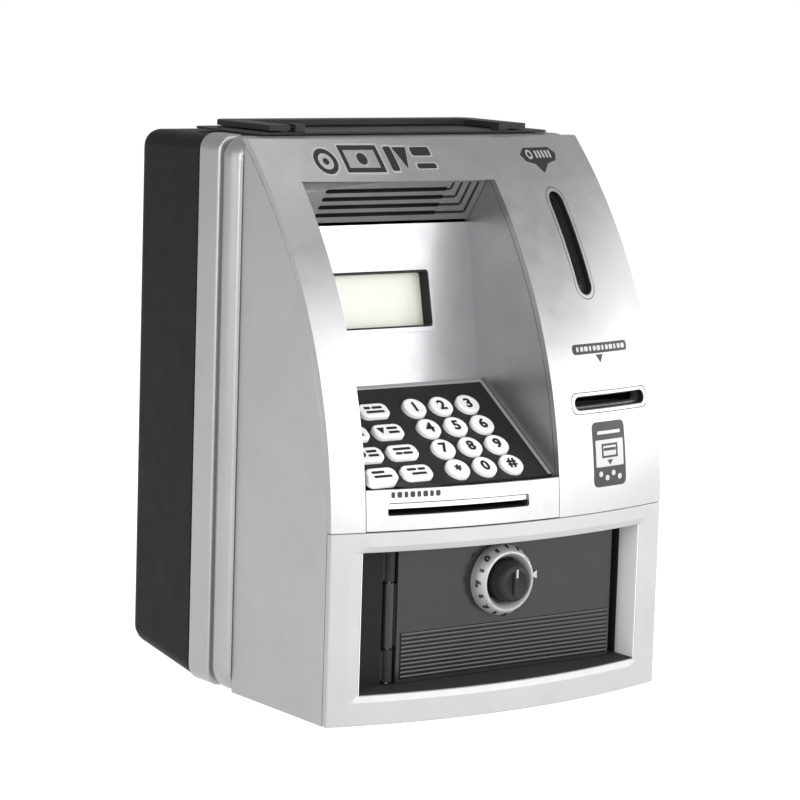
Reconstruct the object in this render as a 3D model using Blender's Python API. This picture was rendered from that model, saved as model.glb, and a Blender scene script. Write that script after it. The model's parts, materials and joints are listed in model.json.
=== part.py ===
"""Toy ATM savings bank: a standing coin and note bank with a keypad, a display and a vault door.

Sizes are in millimetres and are turned into metres where a mesh is made. Depth (Y) is measured
from the plane through the two front vertical corners, towards the back. Height (Z) is measured
from the bottom edge of the housing. The empty "bank" moves both to the part's own origin, which
is the middle of the footprint, at the height of the surface that the bank stands on.
"""

from math import atan2, cos, hypot, pi, radians, sin, sqrt

import bmesh
import bpy
from mathutils import Vector

MM = 0.001
GAP = 0.3  # between pieces that touch or are cut by each other

# ---- driving dimensions ------------------------------------------------------------------
HALF_WIDTH = 87.5  # front housing
HEIGHT = 236.4  # housing, without the handle
WALL = 2.6
BOW = 12.85  # how far the front bulges at its middle
ARC_START = 74.0  # the front is upright below this height and leans back above it
ARC_RADIUS = 226.0
SKIN = 3.0  # thickness of the front panels
SEAM = 80.8  # joint between the lower frame and the upper bezel
FOOT_GAP = 1.3  # housing to the surface underneath
FOOT_X = 70.0

RING_HALF_WIDTH = 90.7
RING_FRONT, RING_BACK = 71.5, 101.5
BEAD_BACK, BEAD_HEIGHT = 84.6, 2.8  # the round bead along the ring's front
RING_TOP = 237.0
RING_BOTTOM = -0.4
COVER_BACK = 153.0
COVER_BOTTOM_RISE = 6.5  # the rear cover's underside climbs this much towards the back
HATCH_MIDDLE, HATCH_SIZE = 42.0, (72.0, 42.0)  # battery hatch in the rear cover

# Recess with the display and the keypad
RECESS_LEFT, RECESS_RIGHT = -73.0, 21.5
RECESS_TOP = 219.7
LINER_LEFT = -76.0
LINER_WALL = 2.2
STRIP_TOP = 97.9
STRIP_THICK = 1.6
WALL_FOOT = (44.5, 132.9)  # depth and height where the display wall begins
PLATE_BACK = (46.0, 132.9)  # the keypad's plane passes through this line
PLATE_START = 2.6  # distance down the slope to the plate's rear edge
PLATE_SLOPE = radians(33.6)
PLATE_LENGTH = 62.5
PLATE_THICK = 1.8
DISPLAY_LEAN = radians(12.2)
DISPLAY_WALL_LENGTH = 69.8
GRILLE_TOP = (45.9, RECESS_TOP)

# Keys: rows are distances down the slope from the keypad's rear edge
KEY_ROWS = (16.9, 29.9, 42.7, 55.2)
NUMBER_COLUMNS = (-24.7, -10.6, 3.5)
FUNCTION_COLUMNS = (-63.6, -45.9)
NUMBER_NAMES = (("1", "2", "3"), ("4", "5", "6"), ("7", "8", "9"), ("star", "0", "hash"))
NUMBER_RADIUS = 5.5
FUNCTION_SIZE = (14.8, 8.2)
KEY_PROUD = 2.0
KEY_DEEP = 2.2
KEY_CLEARANCE = 0.4
MAT_TOP = -4.6  # below the keypad plate's face
MAT_THICK = 1.2

# Display window, in the plane of the recess's back wall
LENS_LEFT, LENS_RIGHT = -58.0, -2.5
LENS_BOTTOM, LENS_TOP = 24.0, 48.6
LENS_DEPTH = 6.0
SHROUD_WALL = 2.0

# Slots in the front
BILL_LEFT, BILL_RIGHT = -63.4, 4.6
BILL_LOW, BILL_HIGH = 87.2, 92.4
COIN_X, COIN_LOW, COIN_HIGH, COIN_WIDTH = 53.2, 169.5, 216.0, 11.4
CARD_X, CARD_Z, CARD_WIDTH, CARD_HEIGHT = 56.2, 127.4, 48.4, 8.6
TRIM_DEPTH = 7.0

# Lower frame and vault door
OPENING_HALF = 73.6
OPENING_LOW, OPENING_HIGH = 12.5, 72.0
BEVEL_SIDE, BEVEL_END, BEVEL_DEPTH = 6.2, 2.8, 1.0
REVEAL_BACK = 17.0
DOOR_LEFT, DOOR_RIGHT = -48.8, 66.0
DOOR_LOW, DOOR_HIGH = 13.0, 71.5
DOOR_FRONT, DOOR_THICK = 6.0, 2.6
HINGE_X, HINGE_Y = -52.0, 8.5
BARREL_RADIUS, PIN_RADIUS = 2.6, 1.0
KNOB_X, KNOB_Z = 4.0, 53.0
VAULT_FRONT, VAULT_BACK, VAULT_LOW, VAULT_TOP = 22.0, 98.0, 6.0, 71.0

# Note feeder
FEED_Y, FEED_Z, FEED_RADIUS = 31.0, 82.6, 7.0
IDLER_RADIUS = 4.5
GEAR_X, GEAR_WIDTH = 12.0, 5.0
GEAR_TEETH, PINION_TEETH = 16, 8
GEAR_DISTANCE = 12.5

# Carry handle
BASE_HALF, BASE_FRONT, BASE_BACK = 79.0, 76.0, 126.0
BASE_LOW, BASE_HIGH = 237.3, 238.2
HANDLE_HALF, HANDLE_BAR = 69.0, 11.0
HANDLE_PIVOT_Y, HANDLE_PIVOT_Z = 82.0, 239.95
HANDLE_THICK = 2.4
HANDLE_NOSE = 1.1  # how far the arms reach in front of the pivot

MIDDLE_DEPTH = (COVER_BACK - BOW) / 2


# ---- scene, materials and mesh helpers ---------------------------------------------------
def clear_scene():
    for obj in list(bpy.data.objects):
        bpy.data.objects.remove(obj, do_unlink=True)


def make_material(name, colour, roughness, metallic=0.0):
    material = bpy.data.materials.new(name)
    material.use_nodes = True
    material.diffuse_color = (*colour, 1.0)
    shader = material.node_tree.nodes["Principled BSDF"]
    shader.inputs["Base Color"].default_value = (*colour, 1.0)
    shader.inputs["Roughness"].default_value = roughness
    shader.inputs["Metallic"].default_value = metallic
    return material


def empty(name, location, parent=None, turn=0.0):
    """An empty at a place in mm, turned about X."""
    obj = bpy.data.objects.new(name, None)
    bpy.context.scene.collection.objects.link(obj)
    obj.location = Vector(location) * MM
    obj.rotation_euler = (turn, 0.0, 0.0)
    obj.parent = parent
    return obj


def finish_mesh(name, mesh_builder, material, parent, smooth=False):
    """Make an object from a bmesh in mm; without a material it is a hidden cutter."""
    bmesh.ops.remove_doubles(mesh_builder, verts=mesh_builder.verts, dist=1e-4)
    bmesh.ops.recalc_face_normals(mesh_builder, faces=mesh_builder.faces)
    bmesh.ops.scale(mesh_builder, vec=(MM, MM, MM), verts=mesh_builder.verts)
    mesh = bpy.data.meshes.new(name)
    mesh_builder.to_mesh(mesh)
    mesh_builder.free()
    if smooth:
        mesh.shade_smooth()
        mesh.set_sharp_from_angle(angle=radians(35))
    obj = bpy.data.objects.new(name, mesh)
    bpy.context.scene.collection.objects.link(obj)
    obj.parent = parent
    if material is None:
        obj.hide_render = True
        obj.display_type = "WIRE"
    else:
        mesh.materials.append(material)
    return obj


def combine(obj, other, operation):
    modifier = obj.modifiers.new(operation.lower(), "BOOLEAN")
    modifier.operation = operation
    modifier.solver = "EXACT"
    modifier.object = other


def cut(obj, *others):
    for other in others:
        combine(obj, other, "DIFFERENCE")


def unite(obj, *others):
    for other in others:
        combine(obj, other, "UNION")


def box(name, low, high, material=None, parent=None, bevel=0.0):
    """An upright box between two corners, with its edges rounded by bevel."""
    low, high = Vector(low), Vector(high)
    builder = bmesh.new()
    bmesh.ops.create_cube(builder, size=1.0)
    bmesh.ops.scale(builder, vec=high - low, verts=builder.verts)
    bmesh.ops.translate(builder, vec=(low + high) / 2, verts=builder.verts)
    if bevel:
        bmesh.ops.bevel(
            builder, geom=builder.edges[:], offset=bevel, segments=2, profile=0.5, affect="EDGES"
        )
    return finish_mesh(name, builder, material, parent or BANK, smooth=bool(bevel))


def rounded_outline(centre, size, radius, steps=5):
    """The points of a rectangle with round corners; radius may be half the smaller side."""
    points = []
    for quarter, (sx, sy) in enumerate(((1, 1), (-1, 1), (-1, -1), (1, -1))):
        corner_x = centre[0] + sx * (size[0] / 2 - radius)
        corner_y = centre[1] + sy * (size[1] / 2 - radius)
        for step in range(steps + 1):
            angle = (quarter + step / steps) * pi / 2
            points.append((corner_x + radius * cos(angle), corner_y + radius * sin(angle)))
    return points


def place_on_axis(axis, point, along):
    """A point of an outline put into space, with `along` measured on the axis X, Y or Z."""
    across, up = point
    if axis == "X":
        return (along, across, up)
    if axis == "Y":
        return (across, along, up)
    return (across, up, along)


def prism(name, outline, start, end, axis, material=None, parent=None, edge=0.0):
    """An outline extruded along an axis; `edge` rounds the rim at the end."""
    builder = bmesh.new()
    corners = [builder.verts.new(place_on_axis(axis, point, start)) for point in outline]
    base = builder.faces.new(corners)
    extruded = bmesh.ops.extrude_face_region(builder, geom=[base])["geom"]
    top_points = [item for item in extruded if isinstance(item, bmesh.types.BMVert)]
    shift = Vector(place_on_axis(axis, (0, 0), end - start))
    bmesh.ops.translate(builder, vec=shift, verts=top_points)
    if edge:
        top_edges = [item for item in extruded if isinstance(item, bmesh.types.BMEdge)]
        bmesh.ops.bevel(
            builder, geom=top_edges, offset=edge, segments=2, profile=0.5, affect="EDGES"
        )
    return finish_mesh(name, builder, material, parent or BANK, smooth=True)


def turned(name, profile, axis, centre, material=None, parent=None, segments=32):
    """A profile of (radius, distance along the axis) pairs, spun round the axis at centre."""
    direction = {"X": (1, 0, 0), "Y": (0, 1, 0), "Z": (0, 0, 1)}[axis]
    builder = bmesh.new()
    first_axis = {"X": "Y", "Y": "X", "Z": "X"}[axis]
    ring = []
    for radius, along in profile:
        point = {"X": 0.0, "Y": 0.0, "Z": 0.0}
        point[first_axis] = radius
        point[axis] = along
        ring.append(builder.verts.new((point["X"], point["Y"], point["Z"])))
    edges = [builder.edges.new(pair) for pair in zip(ring, ring[1:])]
    if profile[0][0] > 0:
        edges.append(builder.edges.new((ring[-1], ring[0])))
    bmesh.ops.spin(
        builder,
        geom=ring + edges,
        cent=(0, 0, 0),
        axis=direction,
        angle=2 * pi,
        steps=segments,
        use_merge=True,
    )
    bmesh.ops.translate(builder, vec=centre, verts=builder.verts)
    return finish_mesh(name, builder, material, parent or BANK, smooth=True)


def loft(name, loops, closed_ring, material, parent=None):
    """Skin neighbouring loops of points; a closed ring joins the last loop to the first."""
    builder = bmesh.new()
    rows = [[builder.verts.new(point) for point in loop] for loop in loops]
    pairs = list(zip(rows, rows[1:]))
    if closed_ring:
        pairs.append((rows[-1], rows[0]))
    else:
        builder.faces.new(rows[0])
        builder.faces.new(rows[-1])
    for row, following in pairs:
        for index in range(len(row)):
            after = (index + 1) % len(row)
            builder.faces.new((row[index], row[after], following[after], following[index]))
    return finish_mesh(name, builder, material, parent or BANK, smooth=True)


# ---- the bulging, leaning front surface --------------------------------------------------
def bow(x):
    return BOW * (1 - (x / HALF_WIDTH) ** 2)


def lean(z, inset):
    """Depth of the side profile: upright, then an arc; inset is measured square to it."""
    rise = max(z - ARC_START, 0.0)
    return ARC_RADIUS - sqrt((ARC_RADIUS - inset) ** 2 - rise**2)


def front_depth(x, z, inset=0.0):
    return lean(z, inset) - bow(x)


def spaced(start, end, step, *extra):
    """Evenly spaced values between two ends, together with the extra ones."""
    count = max(1, round((end - start) / step))
    values = {round(start + (end - start) * index / count, 4) for index in range(count + 1)}
    values = [value for value in values if all(abs(value - other) > 1.0 for other in extra)]
    return sorted(set(values) | {start, end} | set(extra))


def sheet_solid(name, xs, zs, front, back, hole=None, material=None):
    """A closed solid between two surfaces y = front(x, z) and y = back(x, z) over a grid."""
    builder = bmesh.new()
    sides = []
    for depth in (front, back):
        sides.append([[builder.verts.new((x, depth(x, z), z)) for z in zs] for x in xs])
    columns, rows = len(xs) - 1, len(zs) - 1

    def solid(column, row):
        inside = 0 <= column < columns and 0 <= row < rows
        middle_x = (xs[column] + xs[(column + 1) % len(xs)]) / 2
        middle_z = (zs[row] + zs[(row + 1) % len(zs)]) / 2
        return inside and not (hole and hole(middle_x, middle_z))

    for column in range(columns):
        for row in range(rows):
            if not solid(column, row):
                continue
            corners = ((column, row), (column + 1, row), (column + 1, row + 1), (column, row + 1))
            for side in sides:
                builder.faces.new([side[i][j] for i, j in corners])
            beyond = ((0, -1), (1, 0), (0, 1), (-1, 0))
            for index, (step_x, step_z) in enumerate(beyond):
                if solid(column + step_x, row + step_z):
                    continue
                (i, j), (k, m) = corners[index], corners[(index + 1) % 4]
                builder.faces.new((sides[0][i][j], sides[0][k][m], sides[1][k][m], sides[1][i][j]))
    for vertex in [vertex for vertex in builder.verts if not vertex.link_faces]:
        builder.verts.remove(vertex)
    return finish_mesh(name, builder, material, BANK)


def front_layer(name, x_range, z_range, inset_front, inset_back, step=9.0, material=None):
    """A piece of the front skin between two insets."""
    return sheet_solid(
        name,
        spaced(*x_range, step),
        spaced(*z_range, step),
        lambda x, z: front_depth(x, z, inset_front),
        lambda x, z: front_depth(x, z, inset_back),
        material=material,
    )


def front_trimmer(name, inset):
    """A cutter that takes away everything in front of the skin at this inset."""
    return sheet_solid(
        name,
        spaced(-HALF_WIDTH - 8, HALF_WIDTH + 8, 9.0),
        spaced(-8, HEIGHT + 6, 9.0),
        lambda x, z: -60.0,
        lambda x, z: front_depth(x, z, inset),
    )


# ---- outer shells ------------------------------------------------------------------------
def body_loop(depth, inset=0.0, rise=0.0, radius=7.0):
    """The rounded rectangle of the ring and the rear cover at one depth."""
    low = RING_BOTTOM + inset + rise
    high = RING_TOP - inset
    size = (2 * (RING_HALF_WIDTH - inset), high - low)
    outline = rounded_outline((0, (low + high) / 2), size, radius)
    return [(x, depth, z) for x, z in outline]


def make_front_housing():
    housing = box("front_housing", (-HALF_WIDTH, -20, 0), (HALF_WIDTH, RING_FRONT - GAP, HEIGHT), SILVER)
    inside = box(
        "housing_inside", (-HALF_WIDTH + WALL, -40, WALL), (HALF_WIDTH - WALL, 90, HEIGHT - WALL)
    )
    cut(housing, inside, BEHIND_SKIN)
    return housing


def make_mid_ring():
    """The flat band and the round bead between the front housing and the rear cover."""
    bead_middle = (RING_FRONT + BEAD_BACK) / 2
    bead_half = (BEAD_BACK - RING_FRONT) / 2
    loops = []
    for step in range(9):
        angle = pi * step / 8
        inset = BEAD_HEIGHT * (1 - sin(angle))
        loops.append(body_loop(bead_middle - bead_half * cos(angle), inset, radius=9.0 - inset / 2))
    band_front = BEAD_BACK + 0.8
    loops.append(body_loop(band_front, BEAD_HEIGHT, radius=7.0 - BEAD_HEIGHT / 2))
    loops.append(body_loop(band_front + 0.2, 0.5, radius=6.8))
    loops.append(body_loop(band_front + 0.9, 0.0))
    loops.append(body_loop(RING_BACK - 0.8, 0.0))
    loops.append(body_loop(RING_BACK, 0.6, radius=6.7))
    inner_inset = RING_HALF_WIDTH - HALF_WIDTH + WALL
    loops.append(body_loop(RING_BACK, inner_inset, radius=3.0))
    loops.append(body_loop(RING_FRONT, inner_inset, radius=3.0))
    return loft("mid_ring", loops, True, SILVER)


def make_rear_cover():
    """A cup whose underside climbs towards the back, with a rounded rear rim."""
    front = RING_BACK + GAP
    rim = 6.0
    length = COVER_BACK - front

    def cover_loop(depth, inset, wall=0.0):
        share = (depth - front) / length
        rise = COVER_BOTTOM_RISE * share + wall * 0.1
        return body_loop(depth, 0.5 + 1.1 * share + inset + wall, rise, max(7.0 - wall, 3.0))

    loops = [cover_loop(front, 0.6), cover_loop(front + 0.8, 0.0)]
    for step in range(5):
        angle = pi / 2 * step / 4
        depth = COVER_BACK - rim + rim * sin(angle)
        loops.append(cover_loop(depth, rim * (1 - cos(angle))))
    outer_count = len(loops)
    inner_back = COVER_BACK - WALL
    inner = [cover_loop(inner_back, rim - WALL, WALL), cover_loop(inner_back - 4, 0.0, WALL)]
    inner.append(cover_loop(front, 0.0, WALL))
    builder = bmesh.new()
    rows = [[builder.verts.new(point) for point in loop] for loop in loops + inner]
    for index, (row, following) in enumerate(zip(rows, rows[1:] + rows[:1])):
        if index == outer_count - 1:
            builder.faces.new(row)
            builder.faces.new(following)
            continue
        for point in range(len(row)):
            after = (point + 1) % len(row)
            builder.faces.new((row[point], row[after], following[after], following[point]))
    cover = finish_mesh("rear_cover", builder, CHARCOAL, BANK, smooth=True)
    hatch = rounded_outline((0, HATCH_MIDDLE), HATCH_SIZE, 3)
    cut(cover, prism("hatch_opening", hatch, COVER_BACK - 12, COVER_BACK + 5, "Y"))
    return cover


def make_battery_door():
    plate = rounded_outline((0, HATCH_MIDDLE), [side - 2 * GAP for side in HATCH_SIZE], 2.7)
    door = prism("battery_door", plate, COVER_BACK - 2.2, COVER_BACK - 0.4, "Y", CHARCOAL, edge=0.4)
    tab = rounded_outline((0, 60.6), (16, 1.6), 0.7)
    unite(door, prism("battery_door_tab", tab, COVER_BACK - 1.9, COVER_BACK + 0.0, "Y"))
    return door


def make_feet():
    """Stick-on pads: two under the front housing and two under the ring."""
    low = -FOOT_GAP
    for side, x in (("left", -FOOT_X), ("right", FOOT_X)):
        for end, y, top in (("front", 14.0, -GAP), ("rear", 93.0, RING_BOTTOM - GAP)):
            profile = ((0, low), (5.6, low), (6.0, low + 0.3), (6.0, top), (0, top))
            turned(f"foot_{end}_{side}", profile, "Z", (x, y, 0), RUBBER, segments=20)


# ---- front panels ------------------------------------------------------------------------
def make_front_bezel():
    def in_recess(x, z):
        return RECESS_LEFT < x < RECESS_RIGHT and z < RECESS_TOP

    bezel = sheet_solid(
        "front_bezel",
        spaced(-HALF_WIDTH, HALF_WIDTH, 9.0, RECESS_LEFT, RECESS_RIGHT),
        spaced(SEAM, HEIGHT, 9.0, RECESS_TOP),
        lambda x, z: front_depth(x, z),
        lambda x, z: front_depth(x, z, SKIN),
        in_recess,
        SILVER,
    )
    cut(bezel, slot_prism("coin_hole", COIN_X, COIN_LOW, COIN_HIGH, COIN_WIDTH + 2 * GAP))
    cut(bezel, card_prism("card_hole", CARD_WIDTH + 2 * GAP, CARD_HEIGHT + 2 * GAP))
    return bezel


def slot_prism(name, x, low, high, width, front=-40.0, back=120.0):
    outline = rounded_outline((x, (low + high) / 2), (width, high - low), width / 2 - 0.01)
    return prism(name, outline, front, back, "Y")


def card_prism(name, width, height):
    outline = rounded_outline((CARD_X, CARD_Z), (width, height), min(3.0, height / 2 - 0.01))
    return prism(name, outline, -40.0, 60.0, "Y")


def make_door_frame():
    """The lower front frame, dished round the opening, with a reveal that runs back."""
    outer_low, outer_high = OPENING_LOW - BEVEL_END, OPENING_HIGH + BEVEL_END
    outer_half = OPENING_HALF + BEVEL_SIDE

    def dished(x, z):
        in_side = (outer_half - abs(x)) / BEVEL_SIDE
        in_end = min(z - outer_low, outer_high - z) / BEVEL_END
        return front_depth(x, z) + BEVEL_DEPTH * min(max(min(in_side, in_end), 0.0), 1.0)

    xs = spaced(-HALF_WIDTH, HALF_WIDTH, 9.0, -outer_half, -OPENING_HALF, OPENING_HALF, outer_half)
    zs = (0.0, outer_low, OPENING_LOW, OPENING_HIGH, outer_high, SEAM - GAP)
    frame = sheet_solid(
        "door_frame", xs, zs, dished, lambda x, z: front_depth(x, z, SKIN), material=LIGHT_SILVER
    )
    wall = 2.3
    reveal = box(
        "reveal_block",
        (-OPENING_HALF - wall, -16, OPENING_LOW - wall),
        (OPENING_HALF + wall, REVEAL_BACK, OPENING_HIGH + wall),
    )
    cut(reveal, front_trimmer("reveal_trimmer", SKIN * 0.6))
    opening = box(
        "door_opening", (-OPENING_HALF, -40, OPENING_LOW), (OPENING_HALF, 40, OPENING_HIGH)
    )
    unite(frame, reveal)
    cut(frame, opening)
    return frame


# ---- recess: liner, display and keypad ---------------------------------------------------
def slope_point(distance, below=0.0):
    """A point of the keypad's plane in depth and height, `distance` down from its rear edge."""
    depth = PLATE_BACK[0] - distance * cos(PLATE_SLOPE) + below * sin(PLATE_SLOPE)
    height = PLATE_BACK[1] - distance * sin(PLATE_SLOPE) - below * cos(PLATE_SLOPE)
    return depth, height


def wall_point(distance, behind=0.0):
    """A point of the display wall in depth and height, `distance` up from its foot."""
    depth = WALL_FOOT[0] + distance * sin(DISPLAY_LEAN) + behind * cos(DISPLAY_LEAN)
    height = WALL_FOOT[1] + distance * cos(DISPLAY_LEAN) - behind * sin(DISPLAY_LEAN)
    return depth, height


def make_recess_liner():
    """Tray of the recess: front strip, sloping deck, display wall and two cheeks."""
    deck = PLATE_THICK + GAP
    top_front = slope_point(PLATE_LENGTH, deck)
    under_front = slope_point(PLATE_LENGTH, deck + LINER_WALL)
    path = [
        (-20, top_front[1]),
        top_front,
        slope_point(0.5, deck),
        wall_point(DISPLAY_WALL_LENGTH - 1.2),
        wall_point(DISPLAY_WALL_LENGTH - 1.2, LINER_WALL),
        slope_point(0.5 - LINER_WALL, deck + LINER_WALL),
        under_front,
        (-20, under_front[1]),
    ]
    liner = prism("recess_liner", path, LINER_LEFT - 1, RECESS_RIGHT + 1, "X", SILVER)
    lip_top, lip_under = deck + 0.3, deck + LINER_WALL - 0.3
    lip_path = [
        (-20, slope_point(PLATE_LENGTH, lip_top)[1]),
        slope_point(PLATE_LENGTH, lip_top),
        slope_point(PLATE_LENGTH - 10, lip_top),
        slope_point(PLATE_LENGTH - 10, lip_under),
        slope_point(PLATE_LENGTH, lip_under),
        (-20, slope_point(PLATE_LENGTH, lip_under)[1]),
    ]
    lip = prism("deck_lip", lip_path, RECESS_LEFT + 1.0, RECESS_RIGHT - 1.0, "X")
    cut(lip, front_trimmer("lip_trimmer", 1.2))
    cheek = [
        (-20, under_front[1]),
        under_front,
        slope_point(0.5 - LINER_WALL, deck + LINER_WALL),
        wall_point(DISPLAY_WALL_LENGTH + 2, LINER_WALL),
        (GRILLE_TOP[0] + 8, RECESS_TOP + LINER_WALL),
        (-20, RECESS_TOP + LINER_WALL),
    ]
    left = prism("left_cheek", cheek, LINER_LEFT - LINER_WALL, LINER_LEFT, "X")
    right = prism("right_cheek", cheek, RECESS_RIGHT, RECESS_RIGHT + LINER_WALL, "X")
    shroud = prism("display_shroud", lens_outline(SHROUD_WALL), -LENS_DEPTH - 1, -0.5, "Z", parent=DISPLAY)
    window = prism("display_window", lens_outline(0), -20, 10, "Z", parent=DISPLAY)
    well_x = (LINER_LEFT + 2.0, RECESS_RIGHT - 2.5)
    well = box(
        "key_well", (well_x[0], -PLATE_LENGTH + 0.7, -12), (well_x[1], -7.0, 4), parent=KEYPAD
    )
    strip = front_layer(
        "front_strip",
        (RECESS_LEFT + GAP, RECESS_RIGHT - GAP),
        (SEAM + GAP, STRIP_TOP),
        0.0,
        STRIP_THICK,
    )
    bill = rounded_outline(
        ((BILL_LEFT + BILL_RIGHT) / 2, (BILL_LOW + BILL_HIGH) / 2),
        (BILL_RIGHT - BILL_LEFT, BILL_HIGH - BILL_LOW),
        0.8,
        2,
    )
    for piece in (liner, left, right):
        cut(piece, BEHIND_SKIN)
    unite(liner, lip, left, right)
    unite(liner, shroud)
    cut(liner, window, well)
    unite(liner, strip)
    cut(liner, prism("bill_hole", bill, -40, 20, "Y"))
    return liner


def lens_outline(margin):
    centre = ((LENS_LEFT + LENS_RIGHT) / 2, (LENS_BOTTOM + LENS_TOP) / 2)
    size = (LENS_RIGHT - LENS_LEFT + 2 * margin, LENS_TOP - LENS_BOTTOM + 2 * margin)
    return rounded_outline(centre, size, 0.8 + max(margin, 0), 2)


def make_display():
    prism("lcd_lens", lens_outline(-GAP), -LENS_DEPTH - 0.9, -LENS_DEPTH, "Z", LCD, DISPLAY)
    prism(
        "lcd_module",
        lens_outline(SHROUD_WALL - 0.4),
        -LENS_DEPTH - 5.0,
        -LENS_DEPTH - 1.3,
        "Z",
        BOARD,
        DISPLAY,
    )


def make_speaker_grille():
    """Slanted panel under the brow, with four sound slots."""
    length = hypot(wall_point(DISPLAY_WALL_LENGTH)[0] - GRILLE_TOP[0], RECESS_TOP - 201.1)
    grille = box(
        "speaker_grille",
        (LINER_LEFT + GAP, 0.2, -2.0),
        (RECESS_RIGHT - GAP, length + 2.0, 0),
        SILVER,
        GRILLE,
    )
    cut(grille, BEHIND_SKIN)
    for index in range(4):
        middle = 4.4 + 4.4 * index
        slot = rounded_outline((-29.5, middle), (63, 2.0), 0.99, 3)
        cut(grille, prism(f"sound_slot_{index + 1}", slot, -8, 5, "Z", parent=GRILLE))
    return grille


def make_keypad():
    """The dark plate, its twenty keys and the rubber mat beneath them."""
    plate = box(
        "keypad_plate",
        (LINER_LEFT + GAP, -PLATE_LENGTH, -PLATE_THICK),
        (RECESS_RIGHT - GAP, -PLATE_START, 0),
        BLACK,
        KEYPAD,
    )
    cut(plate, BEHIND_SKIN)
    number_outline = rounded_outline((0, 0), (2 * NUMBER_RADIUS,) * 2, NUMBER_RADIUS - 0.01, 6)
    function_outline = rounded_outline((0, 0), FUNCTION_SIZE, 3.2, 4)
    number_hole = rounded_outline(
        (0, 0), (2 * (NUMBER_RADIUS + KEY_CLEARANCE),) * 2, NUMBER_RADIUS + KEY_CLEARANCE - 0.01, 6
    )
    function_hole = rounded_outline((0, 0), [side + 2 * KEY_CLEARANCE for side in FUNCTION_SIZE], 3.6, 4)
    for row, distance in enumerate(KEY_ROWS):
        for column, x in enumerate(NUMBER_COLUMNS):
            label = NUMBER_NAMES[row][column]
            make_key(f"key_{label}", number_outline, x, distance)
            cut(plate, make_key_hole(f"hole_{label}", number_hole, x, distance))
        for side, x in zip(("left", "right"), FUNCTION_COLUMNS):
            make_key(f"function_key_{side}_{row + 1}", function_outline, x, distance)
            cut(plate, make_key_hole(f"hole_{side}_{row + 1}", function_hole, x, distance))
    mat = box(
        "key_mat",
        (LINER_LEFT + 2.5, -PLATE_LENGTH + 3.0, MAT_TOP - MAT_THICK),
        (RECESS_RIGHT - 1.5, -6.0, MAT_TOP),
        RUBBER,
        KEYPAD,
    )
    cut(mat, BEHIND_SKIN)


def make_key(name, outline, x, distance):
    key = prism(name, outline, -KEY_DEEP, KEY_PROUD, "Z", KEY_GREY, KEYPAD, edge=0.8)
    key.location = Vector((x, -distance, 0)) * MM
    return key


def make_key_hole(name, outline, x, distance):
    hole = prism(name, outline, -5, 5, "Z", parent=KEYPAD)
    hole.location = Vector((x, -distance, 0)) * MM
    return hole


# ---- slots, badge and sticker ------------------------------------------------------------
def make_slot_trims():
    coin = front_layer("coin_slot_bezel", (40, 66), (160, 225), 0.0, TRIM_DEPTH, 7.0, SILVER)
    combine(coin, slot_prism("coin_outer", COIN_X, COIN_LOW + GAP, COIN_HIGH - GAP, COIN_WIDTH), "INTERSECT")
    coin_dish = front_layer("coin_dish", (40, 66), (160, 225), -4.0, 3.5, 7.0)
    combine(coin_dish, slot_prism("coin_inner", COIN_X, COIN_LOW + 1.8, COIN_HIGH - 1.8, 8.6), "INTERSECT")
    cut(coin, coin_dish, slot_prism("coin_slit", COIN_X, COIN_LOW + 5, COIN_HIGH - 5, 3.6))

    card = front_layer("card_slot_bezel", (28, 86), (118, 141), 0.0, TRIM_DEPTH, 7.0, SILVER)
    combine(card, card_prism("card_outer", CARD_WIDTH, CARD_HEIGHT), "INTERSECT")
    card_dish = front_layer("card_dish", (28, 86), (118, 141), -4.0, 3.0, 7.0)
    combine(card_dish, card_prism("card_inner", CARD_WIDTH - 3.0, CARD_HEIGHT - 2.6), "INTERSECT")
    cut(card, card_dish, card_prism("card_slit", 42.0, 4.0))


def make_labels():
    badge = front_layer("header_badge", (-70, 0), (220, 236), -0.9, -GAP, 9.0, BLACK)
    outline = rounded_outline((-35.5, 228.2), (58, 9.6), 2.0, 4)
    combine(badge, prism("badge_outline", outline, -40, 90, "Y"), "INTERSECT")
    sticker = front_layer("card_pictogram", (40, 66), (86, 124), -0.7, -GAP, 9.0, BLACK)
    outline = rounded_outline((52.6, 105.2), (20.6, 27.6), 2.4, 4)
    combine(sticker, prism("sticker_outline", outline, -40, 60, "Y"), "INTERSECT")


# ---- money handling ----------------------------------------------------------------------
def make_bill_guide():
    low, high = BILL_LOW - 2.4, BILL_HIGH + 2.0
    guide = box("bill_guide", (BILL_LEFT - 2.4, -16, low), (BILL_RIGHT + 2.4, 21, high), BLACK)
    channel = box(
        "bill_channel", (BILL_LEFT, -30, BILL_LOW), (BILL_RIGHT, 40, BILL_HIGH - 0.2)
    )
    cut(guide, front_trimmer("guide_trimmer", STRIP_THICK + GAP), channel)


def gear_outline(teeth, slimming, phase):
    """Straight-sided teeth of module 1, slimmed to leave backlash."""
    pitch_radius = teeth / 2
    pitch_angle = 2 * pi / teeth
    points = []
    for tooth in range(teeth):
        middle = phase + tooth * pitch_angle
        for radius, share in ((pitch_radius - 1.2, -0.32), (pitch_radius + 0.8, -0.13)):
            points.append((radius, middle + share * slimming * pitch_angle))
        for radius, share in ((pitch_radius + 0.8, 0.13), (pitch_radius - 1.2, 0.32)):
            points.append((radius, middle + share * slimming * pitch_angle))
    return [(radius * cos(angle), radius * sin(angle)) for radius, angle in points]


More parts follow.
